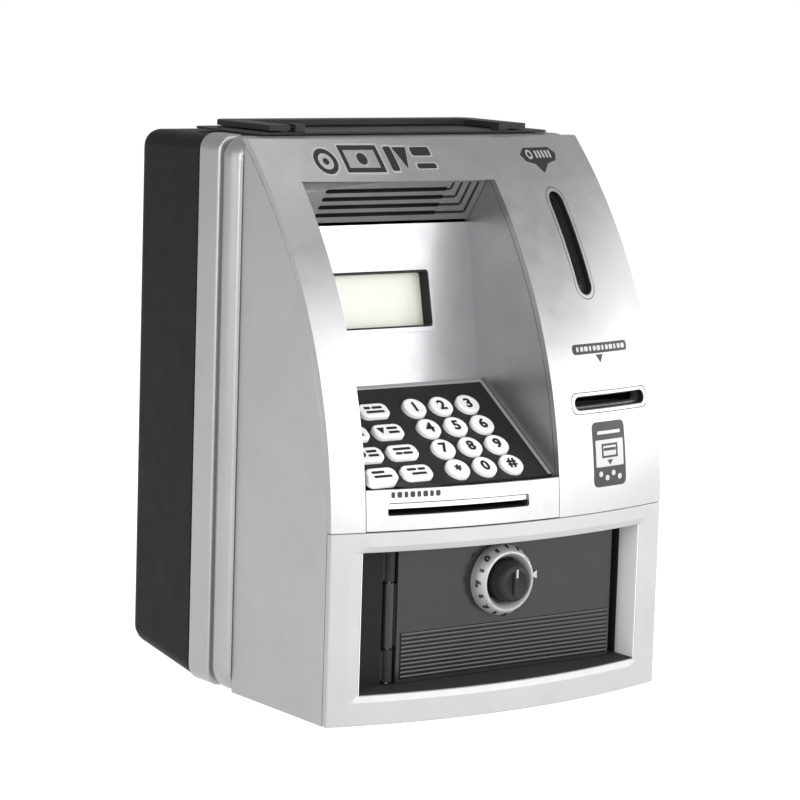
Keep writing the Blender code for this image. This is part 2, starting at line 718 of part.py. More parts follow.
def make_feeder():
    """Driven roller, pressure roller, gear pair and motor behind the note slot."""
    feed_axis = empty("feed_axis", (0, FEED_Y, FEED_Z), BANK)
    idler_height = FEED_Z + FEED_RADIUS + IDLER_RADIUS + 0.5
    idler_axis = empty("idler_axis", (0, FEED_Y, idler_height), BANK)
    shaft, left, right = 2.0, -70.0, 20.0
    roller_ends = (-56.0, -2.0)
    profile = (
        (0, left),
        (shaft, left),
        (shaft, roller_ends[0]),
        (FEED_RADIUS, roller_ends[0]),
        (FEED_RADIUS, roller_ends[1]),
        (shaft, roller_ends[1]),
        (shaft, right),
        (0, right),
    )
    turned("feed_roller", profile, "X", (0, 0, 0), RUBBER, feed_axis, 24)
    idler = [(radius if radius < FEED_RADIUS else IDLER_RADIUS, along) for radius, along in profile]
    idler = [(radius, min(along, 8.0)) for radius, along in idler]
    turned("idler_roller", idler, "X", (0, 0, 0), RUBBER, idler_axis, 24)

    bore = prism("gear_bore", rounded_outline((0, 0), (4.6, 4.6), 2.29, 4), 0, 30, "X", parent=feed_axis)
    gear = prism(
        "roller_gear",
        gear_outline(GEAR_TEETH, 0.9, 0.0),
        GEAR_X,
        GEAR_X + GEAR_WIDTH,
        "X",
        BRASS,
        feed_axis,
    )
    cut(gear, bore)
    pinion_axis = empty("pinion_axis", (0, FEED_Y + GEAR_DISTANCE, FEED_Z), BANK)
    pinion_phase = pi / PINION_TEETH
    pinion = prism(
        "motor_pinion",
        gear_outline(PINION_TEETH, 0.9, pi + pinion_phase),
        GEAR_X,
        GEAR_X + GEAR_WIDTH,
        "X",
        BRASS,
        pinion_axis,
    )
    spindle = rounded_outline((0, 0), (2.0, 2.0), 0.99, 4)
    unite(pinion, prism("pinion_spindle", spindle, GEAR_X + 1, GEAR_X + 12, "X", parent=pinion_axis))
    motor_left = GEAR_X + GEAR_WIDTH + 1.5
    motor = ((1.6, 0), (10.0, 0), (10.0, 24.0), (0, 24.0), (0, 8.0), (1.6, 8.0))
    motor = [(radius, motor_left + along) for radius, along in motor]
    turned("feed_motor", motor, "X", (0, 0, 0), STEEL, pinion_axis, 24)


def make_chutes():
    chute = box("coin_chute", (46, 62, 74.5), (60, 94, 206), BLACK)
    cut(chute, box("chute_inside", (48, 64, 70), (58, 92, 212)))
    cut(chute, box("chute_mouth", (48, 55, 164), (58, 70, 212)))
    reader = box("card_reader", (34.5, 16.5, 119.2), (80, 46, 135.7), BLACK)
    cut(reader, box("reader_slot", (36.0, 10, 124.8), (78.4, 42, 129.6)))


def make_vault_box():
    vault = box("vault_box", (-78, VAULT_FRONT, VAULT_LOW), (78, VAULT_BACK, VAULT_TOP), BLACK)
    cut(vault, box("vault_inside", (-76, 10, VAULT_LOW + 2), (76, VAULT_BACK - 2, VAULT_TOP - 2)))
    cut(vault, box("bill_drop", (BILL_LEFT - 2, 26, 60), (BILL_RIGHT + 2, 56, 90)))
    cut(vault, box("coin_drop", (47, 63, 60), (59, 93, 90)))


# ---- vault door --------------------------------------------------------------------------
def barrel(name, low, high, radius):
    profile = ((0, low), (radius, low), (radius, high), (0, high))
    return turned(name, profile, "Z", (HINGE_X, HINGE_Y, 0), segments=20)


def make_vault_door():
    back = DOOR_FRONT + DOOR_THICK
    door = box(
        "vault_door", (DOOR_LEFT, DOOR_FRONT, DOOR_LOW), (DOOR_RIGHT, back, DOOR_HIGH), SMOKE
    )
    flange = box("door_flange", (DOOR_LEFT + 6, back - 0.8, DOOR_LOW + 3), (DOOR_RIGHT - 3, 12.0, DOOR_HIGH - 3))
    hollow = box("flange_hollow", (DOOR_LEFT + 8, DOOR_FRONT, DOOR_LOW + 5), (DOOR_RIGHT - 5, 20.0, DOOR_HIGH - 5))
    cut(flange, hollow)
    knuckle = barrel("door_knuckle", 28.3, 56.0, BARREL_RADIUS)
    web = box("door_web", (HINGE_X + 1.7, 7.4, 29.0), (DOOR_LEFT + 3, back - 0.3, 55.2))
    shaft_hole = turned("shaft_hole", ((0, 0), (3.0, 0), (3.0, 20), (0, 20)), "Y", (KNOB_X, 0, KNOB_Z))
    cut(door, shaft_hole)
    unite(door, flange, knuckle, web)
    cut(door, barrel("door_bore", 20, 64, PIN_RADIUS + GAP))

    post = box("hinge_post", (-OPENING_HALF + GAP, DOOR_FRONT, DOOR_LOW), (-56.6, back, DOOR_HIGH), BLACK)
    for label, low, high in (("low", 14.0, 27.8), ("high", 56.5, 70.3)):
        lug = barrel(f"post_knuckle_{label}", low, high, BARREL_RADIUS)
        lug_web = box(f"post_web_{label}", (-60.0, back - 1.0, low + 0.7), (HINGE_X, HINGE_Y + 2.2, high - 0.7))
        unite(post, lug, lug_web)
    cut(post, barrel("post_bore", 10, 76, PIN_RADIUS + GAP))
    turned(
        "hinge_pin",
        ((0, 13.2), (PIN_RADIUS, 13.2), (PIN_RADIUS, 71.2), (0, 71.2)),
        "Z",
        (HINGE_X, HINGE_Y, 0),
        STEEL,
        segments=16,
    )


def make_knob():
    """Light collar, turning knob with its shaft, and the cam that it carries."""
    centre = (KNOB_X, 0, KNOB_Z)
    face = DOOR_FRONT - GAP
    collar = ((9.6, face), (15.2, face), (15.2, 2.4), (13.0, -1.2), (11.4, -1.6), (9.6, 0.6))
    turned("knob_ring", collar, "Y", centre, LIGHT_SILVER, segments=36)
    knob_axis = empty("knob_axis", centre, BANK)
    knob = (
        (0, -7.0),
        (6.6, -7.0),
        (7.8, -6.2),
        (9.0, 4.9),
        (9.0, face),
        (2.5, face),
        (2.5, 20.4),
        (0, 20.4),
    )
    turned("door_knob", knob, "Y", (0, 0, 0), BLACK, knob_axis, 28)
    cam_outline = rounded_outline((8.5, 0), (28.0, 11.0), 5.4, 4)
    cam = prism("latch_cam", cam_outline, REVEAL_BACK + 0.6, REVEAL_BACK + 2.6, "Y", STEEL, knob_axis)
    shaft_bore = turned("cam_bore", ((0, 10), (2.8, 10), (2.8, 30), (0, 30)), "Y", (0, 0, 0), None, knob_axis)
    cut(cam, shaft_bore)


# ---- handle and electronics --------------------------------------------------------------
def make_handle():
    middle = (BASE_FRONT + BASE_BACK) / 2
    base_outline = rounded_outline((0, middle), (2 * BASE_HALF, BASE_BACK - BASE_FRONT), 5.0)
    base = prism("handle_base", base_outline, BASE_LOW, BASE_HIGH, "Z", BLACK)
    pivot = empty("handle_pivot", (0, HANDLE_PIVOT_Y, HANDLE_PIVOT_Z), BANK)
    low = -HANDLE_THICK / 2
    reach = BASE_BACK - HANDLE_PIVOT_Y
    outer_place = ((0, (reach - HANDLE_NOSE) / 2), (2 * HANDLE_HALF, reach + HANDLE_NOSE))
    round_corners = rounded_outline(*outer_place, 6.0)
    small_corners = rounded_outline(*outer_place, 1.0)
    half = len(round_corners) // 2
    outer = round_corners[:half] + small_corners[half:]
    handle = prism("carry_handle", outer, low, low + HANDLE_THICK, "Z", BLACK, pivot, edge=0.4)
    arm_inside = HANDLE_HALF - HANDLE_BAR
    gap_front = -12.0
    inner_size = (2 * arm_inside, reach - HANDLE_BAR - gap_front)
    inner = rounded_outline((0, gap_front + inner_size[1] / 2), inner_size, 4.0)
    cut(handle, prism("grip_gap", inner, -10, 10, "Z", parent=pivot))
    pin = 0.9
    for side in (-1, 1):
        boss_x = sorted((side * (arm_inside - 6.0), side * (arm_inside - 1.0)))
        boss = box(
            f"pivot_boss_{side}",
            (boss_x[0], HANDLE_PIVOT_Y - 3.2, BASE_LOW + 0.2),
            (boss_x[1], HANDLE_PIVOT_Y + 3.2, HANDLE_PIVOT_Z + 1.7),
        )
        unite(base, boss)
        pin_x = sorted((side * (arm_inside - 4.5), side * (arm_inside + 3.0)))
        profile = ((0, pin_x[0]), (pin, pin_x[0]), (pin, pin_x[1]), (0, pin_x[1]))
        unite(handle, turned(f"handle_pin_{side}", profile, "X", (0, 0, 0), None, pivot, 14))
        bore = pin + GAP
        bore_x = sorted((side * (arm_inside - 4.9), side * (arm_inside + 1.0)))
        profile = ((0, bore_x[0]), (bore, bore_x[0]), (bore, bore_x[1]), (0, bore_x[1]))
        cut(base, turned(f"handle_bore_{side}", profile, "X", (0, 0, 0), None, pivot, 14))


def make_electronics():
    box("main_board", (-70, 68, 105), (20, 69.6, 195), BOARD)
    speaker_profile = ((0, -14.0), (7.0, -14.0), (7.0, -9.0), (11.0, -5.0), (11.0, -3.2), (0, -3.2))
    turned("speaker", speaker_profile, "Z", (-28.0, 11.7, 0), STEEL, GRILLE, 28)
    holder = box("battery_holder", (-34, 123, 23.5), (34, COVER_BACK - 3.2, 60.5), BLACK)
    cut(holder, box("holder_inside", (-32, 125, 25.5), (32, 160, 58.5)))


clear_scene()
BANK = empty("bank", (0, -MIDDLE_DEPTH, FOOT_GAP))
KEYPAD = empty("keypad_plane", (0, *PLATE_BACK), BANK, PLATE_SLOPE)
DISPLAY = empty("display_plane", (0, *WALL_FOOT), BANK, pi / 2 - DISPLAY_LEAN)
WALL_TOP = wall_point(DISPLAY_WALL_LENGTH)
GRILLE_TURN = atan2(RECESS_TOP - WALL_TOP[1], GRILLE_TOP[0] - WALL_TOP[0])
GRILLE = empty("grille_plane", (0, *WALL_TOP), BANK, GRILLE_TURN)

SILVER = make_material("silver_plastic", (0.45, 0.45, 0.46), 0.38, 0.25)
LIGHT_SILVER = make_material("light_silver_plastic", (0.62, 0.62, 0.63), 0.35, 0.2)
CHARCOAL = make_material("charcoal_plastic", (0.035, 0.035, 0.037), 0.42)
BLACK = make_material("black_plastic", (0.02, 0.02, 0.022), 0.4)
KEY_GREY = make_material("key_grey_plastic", (0.6, 0.6, 0.6), 0.5)
RUBBER = make_material("dark_rubber", (0.03, 0.03, 0.03), 0.75)
LCD = make_material("display_lens", (0.85, 0.87, 0.76), 0.15)
BOARD = make_material("circuit_board", (0.03, 0.16, 0.07), 0.45)
SMOKE = make_material("smoked_plastic", (0.06, 0.06, 0.065), 0.18)
STEEL = make_material("plated_steel", (0.55, 0.55, 0.56), 0.3, 1.0)
BRASS = make_material("gear_plastic", (0.75, 0.72, 0.6), 0.45)

BEHIND_SKIN = front_trimmer("behind_skin", SKIN + GAP)

make_front_housing()
make_mid_ring()
make_rear_cover()
make_battery_door()
make_feet()
make_front_bezel()
make_door_frame()
make_recess_liner()
make_display()
make_speaker_grille()
make_keypad()
make_slot_trims()
make_labels()
make_bill_guide()
make_feeder()
make_chutes()
make_vault_box()
make_vault_door()
make_knob()
make_handle()
make_electronics()
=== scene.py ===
"""Looks of the toy ATM savings bank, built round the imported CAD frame.

Each visible shell is a copy of its CAD solid with its edges rounded, so its place and size come
from the frame. Keys, the knob and its collar are turned or lofted afresh in the space of their
CAD solids. Printed marks are thin raised films laid on those shells. Lengths are written in
millimetres and turned into metres with MM. `place` turns the part's own measures, which start
at the front corners and at the housing's bottom edge, into places in the frame.
"""

import json
from math import cos, pi, radians, sin, sqrt

import bmesh
import bpy
from mathutils import Matrix, Vector
from mathutils.bvhtree import BVHTree

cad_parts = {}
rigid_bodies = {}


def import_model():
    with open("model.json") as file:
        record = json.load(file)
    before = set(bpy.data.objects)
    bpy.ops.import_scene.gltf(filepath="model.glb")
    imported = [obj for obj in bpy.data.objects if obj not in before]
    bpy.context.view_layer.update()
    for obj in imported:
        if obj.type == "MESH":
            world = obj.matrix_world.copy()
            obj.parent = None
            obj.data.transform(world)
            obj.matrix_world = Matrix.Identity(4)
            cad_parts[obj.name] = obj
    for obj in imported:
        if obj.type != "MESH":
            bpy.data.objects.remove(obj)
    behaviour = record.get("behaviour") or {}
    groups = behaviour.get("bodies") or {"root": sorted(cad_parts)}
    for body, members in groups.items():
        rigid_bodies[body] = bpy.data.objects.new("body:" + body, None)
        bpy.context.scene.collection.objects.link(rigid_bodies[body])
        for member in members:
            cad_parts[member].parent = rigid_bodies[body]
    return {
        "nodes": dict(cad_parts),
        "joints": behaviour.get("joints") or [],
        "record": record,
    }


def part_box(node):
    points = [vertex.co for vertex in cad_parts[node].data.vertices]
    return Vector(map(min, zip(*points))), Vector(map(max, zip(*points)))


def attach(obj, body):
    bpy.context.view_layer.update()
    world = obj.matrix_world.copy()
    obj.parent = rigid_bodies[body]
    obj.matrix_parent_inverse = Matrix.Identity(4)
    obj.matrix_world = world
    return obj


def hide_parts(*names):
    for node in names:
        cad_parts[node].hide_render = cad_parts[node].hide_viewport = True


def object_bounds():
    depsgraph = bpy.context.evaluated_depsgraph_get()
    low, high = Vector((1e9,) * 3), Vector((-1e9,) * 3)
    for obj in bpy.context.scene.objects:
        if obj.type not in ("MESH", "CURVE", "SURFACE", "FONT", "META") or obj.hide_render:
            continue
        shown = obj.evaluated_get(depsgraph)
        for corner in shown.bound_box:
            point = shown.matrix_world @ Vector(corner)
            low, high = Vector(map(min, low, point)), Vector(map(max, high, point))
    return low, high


MM = 0.001
BEVEL_SEGMENTS = 3
SHARP_ANGLE = 28.0  # degrees; edges sharper than this are rounded
LONGEST_EDGE = 3.0  # mm; printed films are divided to this, so that they follow a curved shell

for leftover in list(bpy.data.objects):
    bpy.data.objects.remove(leftover, do_unlink=True)
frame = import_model()
NODES = frame["nodes"]
CAD_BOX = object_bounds()
BODY_OF = {node: body for body, nodes in frame["record"]["behaviour"]["bodies"].items() for node in nodes}
SLOT_OF = {part["node"]: part["material_slot"] for part in frame["record"]["subparts"]}

BOW, HALF_WIDTH = 12.85, 87.5  # the front bulges this far at its middle
LEAN_RADIUS, LEAN_START = 226.0, 74.0  # above this height it curves back
FRONT_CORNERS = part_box("door_frame")[0].y + BOW * MM
HOUSING_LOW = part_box("front_housing")[0].z
OPENING_HALF = 73.6  # half the width of the door's opening
BACKWARD = Vector((0, 1, 0))


def place(x, depth, height):
    """A point given in mm from the front corners' plane and the housing's bottom edge."""
    return Vector((x * MM, FRONT_CORNERS + depth * MM, HOUSING_LOW + height * MM))


def front_depth(x, height):
    """Depth of the bowed front, which leans back above the door."""
    lean = LEAN_RADIUS - sqrt(LEAN_RADIUS**2 - max(height - LEAN_START, 0.0) ** 2)
    return lean - BOW * (1 - (x / HALF_WIDTH) ** 2)


# ---- camera ------------------------------------------------------------------------------
def make_camera():
    """A view from the front left, a little above, slightly rolled."""
    yaw, pitch, roll = radians(36.09), radians(8.14), radians(1.81)
    forward = Vector((sin(yaw) * cos(pitch), cos(yaw) * cos(pitch), -sin(pitch)))
    level = forward.cross(Vector((0, 0, 1))).normalized()
    upright = level.cross(forward)
    across = cos(roll) * level + sin(roll) * upright
    up = cos(roll) * upright - sin(roll) * level
    stand = Vector((-0.7998, FRONT_CORNERS - 1.021625, 0.3160))
    camera = bpy.data.objects.new("camera", bpy.data.cameras.new("camera"))
    bpy.context.scene.collection.objects.link(camera)
    camera.matrix_world = Matrix.Translation(stand) @ Matrix((across, up, -forward)).transposed().to_4x4()
    camera.data.lens = 140.5
    camera.data.sensor_width = 36.0
    bpy.context.scene.camera = camera


# ---- materials ---------------------------------------------------------------------------
DRIFT_SIZE, FLAKE_SIZE, GLOSS_SIZE = 26.0, 0.35, 9.0  # mm, of the colour drift, flakes and uneven gloss
GLOSS_SPREAD = 0.04
BUMP_STRENGTH = 0.6


def moulded(
    name, colour, roughness, metallic=0.0, grain=0.5, depth=0.01, mottle=0.03, specular=0.5, flake=0.0
):
    """Moulded or painted plastic: surface grain, faint colour drift and uneven gloss.

    `grain` is the size of the surface texture in mm, `depth` its height in mm, `mottle` how far
    the colour drifts, and `flake` how strongly the metal flakes of a silver paint vary.
    """
    material = bpy.data.materials.new(name)
    material.use_nodes = True
    material.diffuse_color = (*colour, 1.0)
    nodes, links = material.node_tree.nodes, material.node_tree.links
    shader = nodes["Principled BSDF"]
    shader.inputs["Metallic"].default_value = metallic
    shader.inputs["Specular IOR Level"].default_value = specular
    where = nodes.new("ShaderNodeTexCoord").outputs["Object"]

    def noise(size, detail):
        texture = nodes.new("ShaderNodeTexNoise")
        texture.inputs["Scale"].default_value = 1.0 / (size * MM)
        texture.inputs["Detail"].default_value = detail
        links.new(where, texture.inputs["Vector"])
        return texture.outputs["Fac"]

    def spread(value, low, high):
        ranged = nodes.new("ShaderNodeMapRange")
        ranged.inputs["From Min"].default_value = 0.3
        ranged.inputs["From Max"].default_value = 0.7
        ranged.inputs["To Min"].default_value = low
        ranged.inputs["To Max"].default_value = high
        links.new(value, ranged.inputs["Value"])
        return ranged.outputs["Result"]

    def varied(size, amount):
        tint = nodes.new("ShaderNodeHueSaturation")
        links.new(spread(noise(size, 3.0), 1.0 - amount, 1.0 + amount), tint.inputs["Value"])
        return tint

    paint = varied(DRIFT_SIZE, mottle)
    paint.inputs["Color"].default_value = (*colour, 1.0)
    if flake:
        flakes = varied(FLAKE_SIZE, flake)
        links.new(paint.outputs["Color"], flakes.inputs["Color"])
        paint = flakes
    links.new(paint.outputs["Color"], shader.inputs["Base Color"])
    gloss = spread(noise(GLOSS_SIZE, 4.0), roughness - GLOSS_SPREAD, roughness + GLOSS_SPREAD)
    links.new(gloss, shader.inputs["Roughness"])
    bump = nodes.new("ShaderNodeBump")
    bump.inputs["Strength"].default_value = BUMP_STRENGTH
    bump.inputs["Distance"].default_value = depth * MM
    links.new(noise(grain, 2.0), bump.inputs["Height"])
    links.new(bump.outputs["Normal"], shader.inputs["Normal"])
    return material


# slot: colour, roughness and whatever differs from moulded()'s usual values
FINISHES = {
    "silver_plastic": ((0.36, 0.36, 0.37), 0.36, dict(metallic=0.85, grain=0.4, depth=0.004, flake=0.05)),
    "light_silver_plastic": (
        (0.34, 0.34, 0.35), 0.42, dict(metallic=0.35, grain=0.4, depth=0.004, flake=0.04)
    ),
    "charcoal_plastic": (
        (0.0052, 0.0052, 0.0056), 0.5, dict(grain=0.8, depth=0.03, mottle=0.08, specular=0.12)
    ),
    "black_plastic": ((0.019, 0.019, 0.02), 0.45, dict(grain=0.6, depth=0.02, mottle=0.1, specular=0.12)),
    "label_black": ((0.012, 0.012, 0.013), 0.35, dict(depth=0.003, specular=0.3)),
    "key_grey_plastic": ((0.7, 0.7, 0.71), 0.42, dict(grain=0.4, depth=0.008)),
    "dark_rubber": ((0.018, 0.018, 0.018), 0.8, dict(grain=0.6, depth=0.03, mottle=0.1, specular=0.3)),
    "display_lens": ((0.53, 0.54, 0.48), 0.14, dict(grain=1.2, depth=0.002, mottle=0.01)),
    "circuit_board": ((0.015, 0.12, 0.05), 0.35, dict(depth=0.02, mottle=0.08)),
    "smoked_plastic": ((0.016, 0.016, 0.017), 0.2, dict(grain=1.5, depth=0.002, mottle=0.05, specular=0.4)),
    "plated_steel": ((0.6, 0.6, 0.6), 0.28, dict(metallic=1.0, depth=0.006)),
    "gear_plastic": ((0.78, 0.74, 0.62), 0.45, dict(grain=0.6)),
}


def make_materials():
    return {
        slot: moulded(slot, colour, roughness, **details)
        for slot, (colour, roughness, details) in FINISHES.items()
    }


# ---- mesh helpers ------------------------------------------------------------------------
def add_piece(name, builder, slot, body, bevel=0.0, angle=SHARP_ANGLE):
    """Make an object in the frame from a bmesh in metres and let it ride on a body.

    `bevel` is the width in mm by which its sharp edges are rounded, if any, and `angle` is the
    least angle in degrees between two faces that stays a sharp edge.
    """
    bmesh.ops.recalc_face_normals(builder, faces=builder.faces)
    mesh = bpy.data.meshes.new(name)
    builder.to_mesh(mesh)
    builder.free()
    mesh.shade_smooth()
    mesh.set_sharp_from_angle(angle=radians(angle))
    piece = bpy.data.objects.new(name, mesh)
    bpy.context.scene.collection.objects.link(piece)
    if bevel:
        round_edges(piece, bevel * MM)
    mesh.materials.append(MATERIALS[slot])
    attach(piece, body)
    return piece


def round_edges(piece, width):
    """Round the sharp edges by a width in metres, and let the large faces keep their own normals."""
    rounding = piece.modifiers.new("rounded_edges", "BEVEL")
    rounding.width = width
    rounding.segments = BEVEL_SEGMENTS
    rounding.limit_method = "ANGLE"
    rounding.angle_limit = radians(SHARP_ANGLE)
    rounding.miter_outer = "MITER_ARC"
    weighted = piece.modifiers.new("flat_faces", "WEIGHTED_NORMAL")
    weighted.weight = 50
    weighted.keep_sharp = True


def rounded_copy(node, width):
    """A copy of a CAD solid with its sharp edges rounded by `width` mm, shown in its place."""
    builder = bmesh.new()
    builder.from_mesh(NODES[node].data)
    bmesh.ops.remove_doubles(builder, verts=builder.verts, dist=2e-6)
    bmesh.ops.dissolve_limit(builder, angle_limit=radians(0.4), verts=builder.verts, edges=builder.edges)
    piece = add_piece(f"{node}_shell", builder, SLOT_OF[node], BODY_OF[node], width)
    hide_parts(node)
    return piece


def rounded_points(size, radius, steps=8):
    """The points of a rectangle with round corners about the origin; `steps` divide each corner."""
    points = []
    for quarter, (sx, sy) in enumerate(((1, 1), (-1, 1), (-1, -1), (1, -1))):
        for step in range(steps + 1):
            angle = (quarter + step / steps) * pi / 2
            across = sx * (size[0] / 2 - radius) + radius * cos(angle)
            points.append((across, sy * (size[1] / 2 - radius) + radius * sin(angle)))
    return points


def split_sides(points, shortest=10.0, pieces=8):
    """The same outline with every side longer than `shortest` mm cut in equal pieces."""
    finer = []
    for (x, y), (next_x, next_y) in zip(points, points[1:] + points[:1]):
        steps = pieces if max(abs(next_x - x), abs(next_y - y)) > shortest else 1
        for step in range(steps):
            share = step / steps
            finer.append((x + (next_x - x) * share, y + (next_y - y) * share))
    return finer


def join_rings(builder, ring, following):
    for index in range(len(ring)):
        after = (index + 1) % len(ring)
        builder.faces.new((ring[index], ring[after], following[after], following[index]))


def add_tube(builder, loops):
    """Skin neighbouring loops of points, and the last to the first, into a ring."""
    rings = [[builder.verts.new(point) for point in loop] for loop in loops]
    for ring, following in zip(rings, rings[1:] + rings[:1]):
        join_rings(builder, ring, following)


def add_rows(builder, rows):
    """Skin neighbouring rows of points and close both ends."""
    rings = [[builder.verts.new(point) for point in row] for row in rows]
    builder.faces.new(rings[0])
    builder.faces.new(rings[-1])
    for ring, following in zip(rings, rings[1:]):
        join_rings(builder, ring, following)


def slab(name, turn, low, high, slot, body, bevel):
    """A block between two corners in mm of a local frame, with rounded edges."""
    builder = bmesh.new()
    low, high = Vector(low), Vector(high)
    bmesh.ops.create_cube(builder, size=1.0)
    bmesh.ops.scale(builder, vec=(high - low) * MM, verts=builder.verts)
    bmesh.ops.translate(builder, vec=(low + high) / 2 * MM, verts=builder.verts)
    builder.transform(turn)
    return add_piece(name, builder, slot, body, bevel)


def face_frame(node, normal):
    """A local frame on a node's outermost flat face, and that face's size in mm.

    X runs across, Z along the normal, and the frame's origin is the middle of the face.
    """
    across = Vector((1, 0, 0))
    upward = normal.cross(across)
    points = [vertex.co for vertex in NODES[node].data.vertices]
    highest = max(point.dot(normal) for point in points)
    flat = [point for point in points if highest - point.dot(normal) < 0.02 * MM]
    spans = []
    for way in (across, upward):
        reaches = [point.dot(way) for point in flat]
        spans.append((min(reaches), max(reaches)))
    centre = highest * normal
    for way, (low, high) in zip((across, upward), spans):
        centre += (low + high) / 2 * way
    turn = Matrix.Translation(centre) @ Matrix((across, upward, normal)).transposed().to_4x4()
    return turn, [(high - low) / MM for low, high in spans]


# ---- printed marks -----------------------------------------------------------------------
def disc(x, y, radius, steps=28):
    angles = [2 * pi * step / steps for step in range(steps)]
    return [(x + radius * cos(angle), y + radius * sin(angle)) for angle in angles]


def ring(x, y, outer, inner, steps=28):
    """A ring as quads, so that it needs no hole."""
    outside, inside = disc(x, y, outer, steps), disc(x, y, inner, steps)
    quads = []
    for step in range(steps):
        after = (step + 1) % steps
        quads.append([outside[step], outside[after], inside[after], inside[step]])
    return quads


def bar(x, y, width, height, radius=0.0):
    radius = radius or min(width, height) * 0.3
    return [(x + px, y + py) for px, py in rounded_points((width, height), radius, 3)]


def block(left, low, right, high):
    return [(left, low), (right, low), (right, high), (left, high)]


def band_frame(x, y, width, height, line):
    """A rectangular line frame as four bars that meet at their ends."""
    left, right = x - width / 2, x + width / 2
    low, high = y - height / 2, y + height / 2
    return [
        block(left, high - line, right, high),
        block(left, low, right, low + line),
        block(left, low + line, left + line, high - line),
        block(right - line, low + line, right, high - line),
    ]


def arrow_down(x, y, width, height):
    return [(x - width / 2, y + height / 2), (x + width / 2, y + height / 2), (x, y - height / 2)]


def shape(outlines):
    """A flat bmesh in mm with one face for each outline."""
    builder = bmesh.new()
    for outline in outlines:
        builder.faces.new([builder.verts.new((u, v, 0.0)) for u, v in outline])
    return builder


def glyph(character, height, weight):
    """A digit or sign as a flat bmesh in mm, centred on its own middle; `weight` thickens it."""
    curve = bpy.data.curves.new("glyph", "FONT")
    curve.body = character
    curve.size = height * 1.4
    curve.offset = height * weight / 10
    curve.resolution_u = 4
    holder = bpy.data.objects.new("glyph", curve)
    bpy.context.scene.collection.objects.link(holder)
    flat = bpy.data.meshes.new_from_object(holder.evaluated_get(bpy.context.evaluated_depsgraph_get()))
    builder = bmesh.new()
    builder.from_mesh(flat)
    bpy.data.objects.remove(holder)
    bmesh.ops.remove_doubles(builder, verts=builder.verts, dist=1e-4)
    middle = []
    for axis in (0, 1):
        reaches = [vertex.co[axis] for vertex in builder.verts]
        middle.append((min(reaches) + max(reaches)) / 2)
    bmesh.ops.translate(builder, vec=(-middle[0], -middle[1], 0), verts=builder.verts)
    return builder


def printed(name, builder, onto, slot, body, lift=0.1, sunk=0.15):
    """Turn a flat bmesh in mm into a thin film that stands `lift` mm above and `sunk` mm below a surface.

    onto(u, v, height) says where its points lie.
    """
    def stretched():
        return [edge for edge in builder.edges if edge.calc_length() > LONGEST_EDGE]

    bmesh.ops.triangulate(builder, faces=builder.faces)
    while edges := stretched():
        bmesh.ops.subdivide_edges(builder, edges=edges, cuts=1)
        bmesh.ops.triangulate(builder, faces=builder.faces)
    extruded = bmesh.ops.extrude_face_region(builder, geom=builder.faces[:])["geom"]
    raised = {item for item in extruded if isinstance(item, bmesh.types.BMVert)}
    for vertex in builder.verts:
        vertex.co = onto(vertex.co.x, vertex.co.y, lift if vertex in raised else -sunk)
    return add_piece(name, builder, slot, body)


def flat_on(turn):
    """Marks are drawn in mm on the XY plane of a local frame."""
    return lambda u, v, height: turn @ (Vector((u, v, height)) * MM)


def draped_on(shells):
    """Marks are drawn on the front elevation and pushed back onto the nearest of these shells."""
    trees = []
    for shell in shells:
        builder = bmesh.new()
        builder.from_mesh(shell.data)
        trees.append(BVHTree.FromBMesh(builder))
        builder.free()

    def onto(x, height, lift):
        start = place(x, -60.0, height)
        hits = [tree.ray_cast(start, BACKWARD) for tree in trees]
        point, normal = min((hit[:2] for hit in hits if hit[0]), key=lambda hit: hit[0].y)
        normal = normal if normal.y < 0 else -normal
        return point + normal * lift * MM

    return onto


# ---- keypad ------------------------------------------------------------------------------
# inset and height from the CAD key's top, from the skirt to the dished middle
KEY_ROWS = (
    (0.0, -4.2),
    (0.0, -1.0),
    (0.12, -0.5),
    (0.42, -0.14),
    (0.9, 0.0),
    (1.4, -0.03),
    (2.2, -0.16),
    (3.2, -0.24),
)
CAD_KEY_BEVEL = 0.8  # the CAD key's flat top is this much smaller all round
FUNCTION_CORNER = 3.2
FUNCTION_MARK_SCALE = 1.25
FUNCTION_MARKS = {
    "left_1": [bar(-1.6, 1.0, 4.2, 1.0), bar(2.6, 1.0, 2.0, 1.0), bar(0.2, -1.1, 6.6, 1.0)],
    "left_2": [bar(0.0, 1.1, 6.8, 1.0), bar(-2.0, -1.1, 2.6, 1.0), bar(2.0, -1.1, 2.8, 1.0)],
    "left_3": [disc(-2.6, 0.0, 1.5), bar(1.8, 1.0, 4.0, 1.0), bar(1.8, -1.0, 4.0, 1.0)],
    "left_4": [bar(-1.2, 1.0, 5.0, 1.0), bar(-0.2, -1.1, 7.0, 1.0)],
    "right_1": [bar(-2.4, 1.0, 2.4, 1.0), bar(1.6, 1.0, 4.0, 1.0), bar(0.0, -1.1, 7.2, 1.0)],
    "right_2": [arrow_down(-2.8, 0.0, 3.0, 2.8), bar(1.8, 1.0, 4.2, 1.0), bar(1.8, -1.0, 4.2, 1.0)],
    "right_3": [bar(0.0, 1.0, 7.0, 1.0), bar(-2.2, -1.1, 2.4, 1.0), bar(1.4, -1.1, 3.8, 1.0)],
    "right_4": [bar(-1.8, 1.0, 3.6, 1.0), bar(2.2, 1.0, 2.8, 1.0), bar(0.3, -1.1, 5.8, 1.0)],
}
SIGNS = {"star": "*", "hash": "#"}


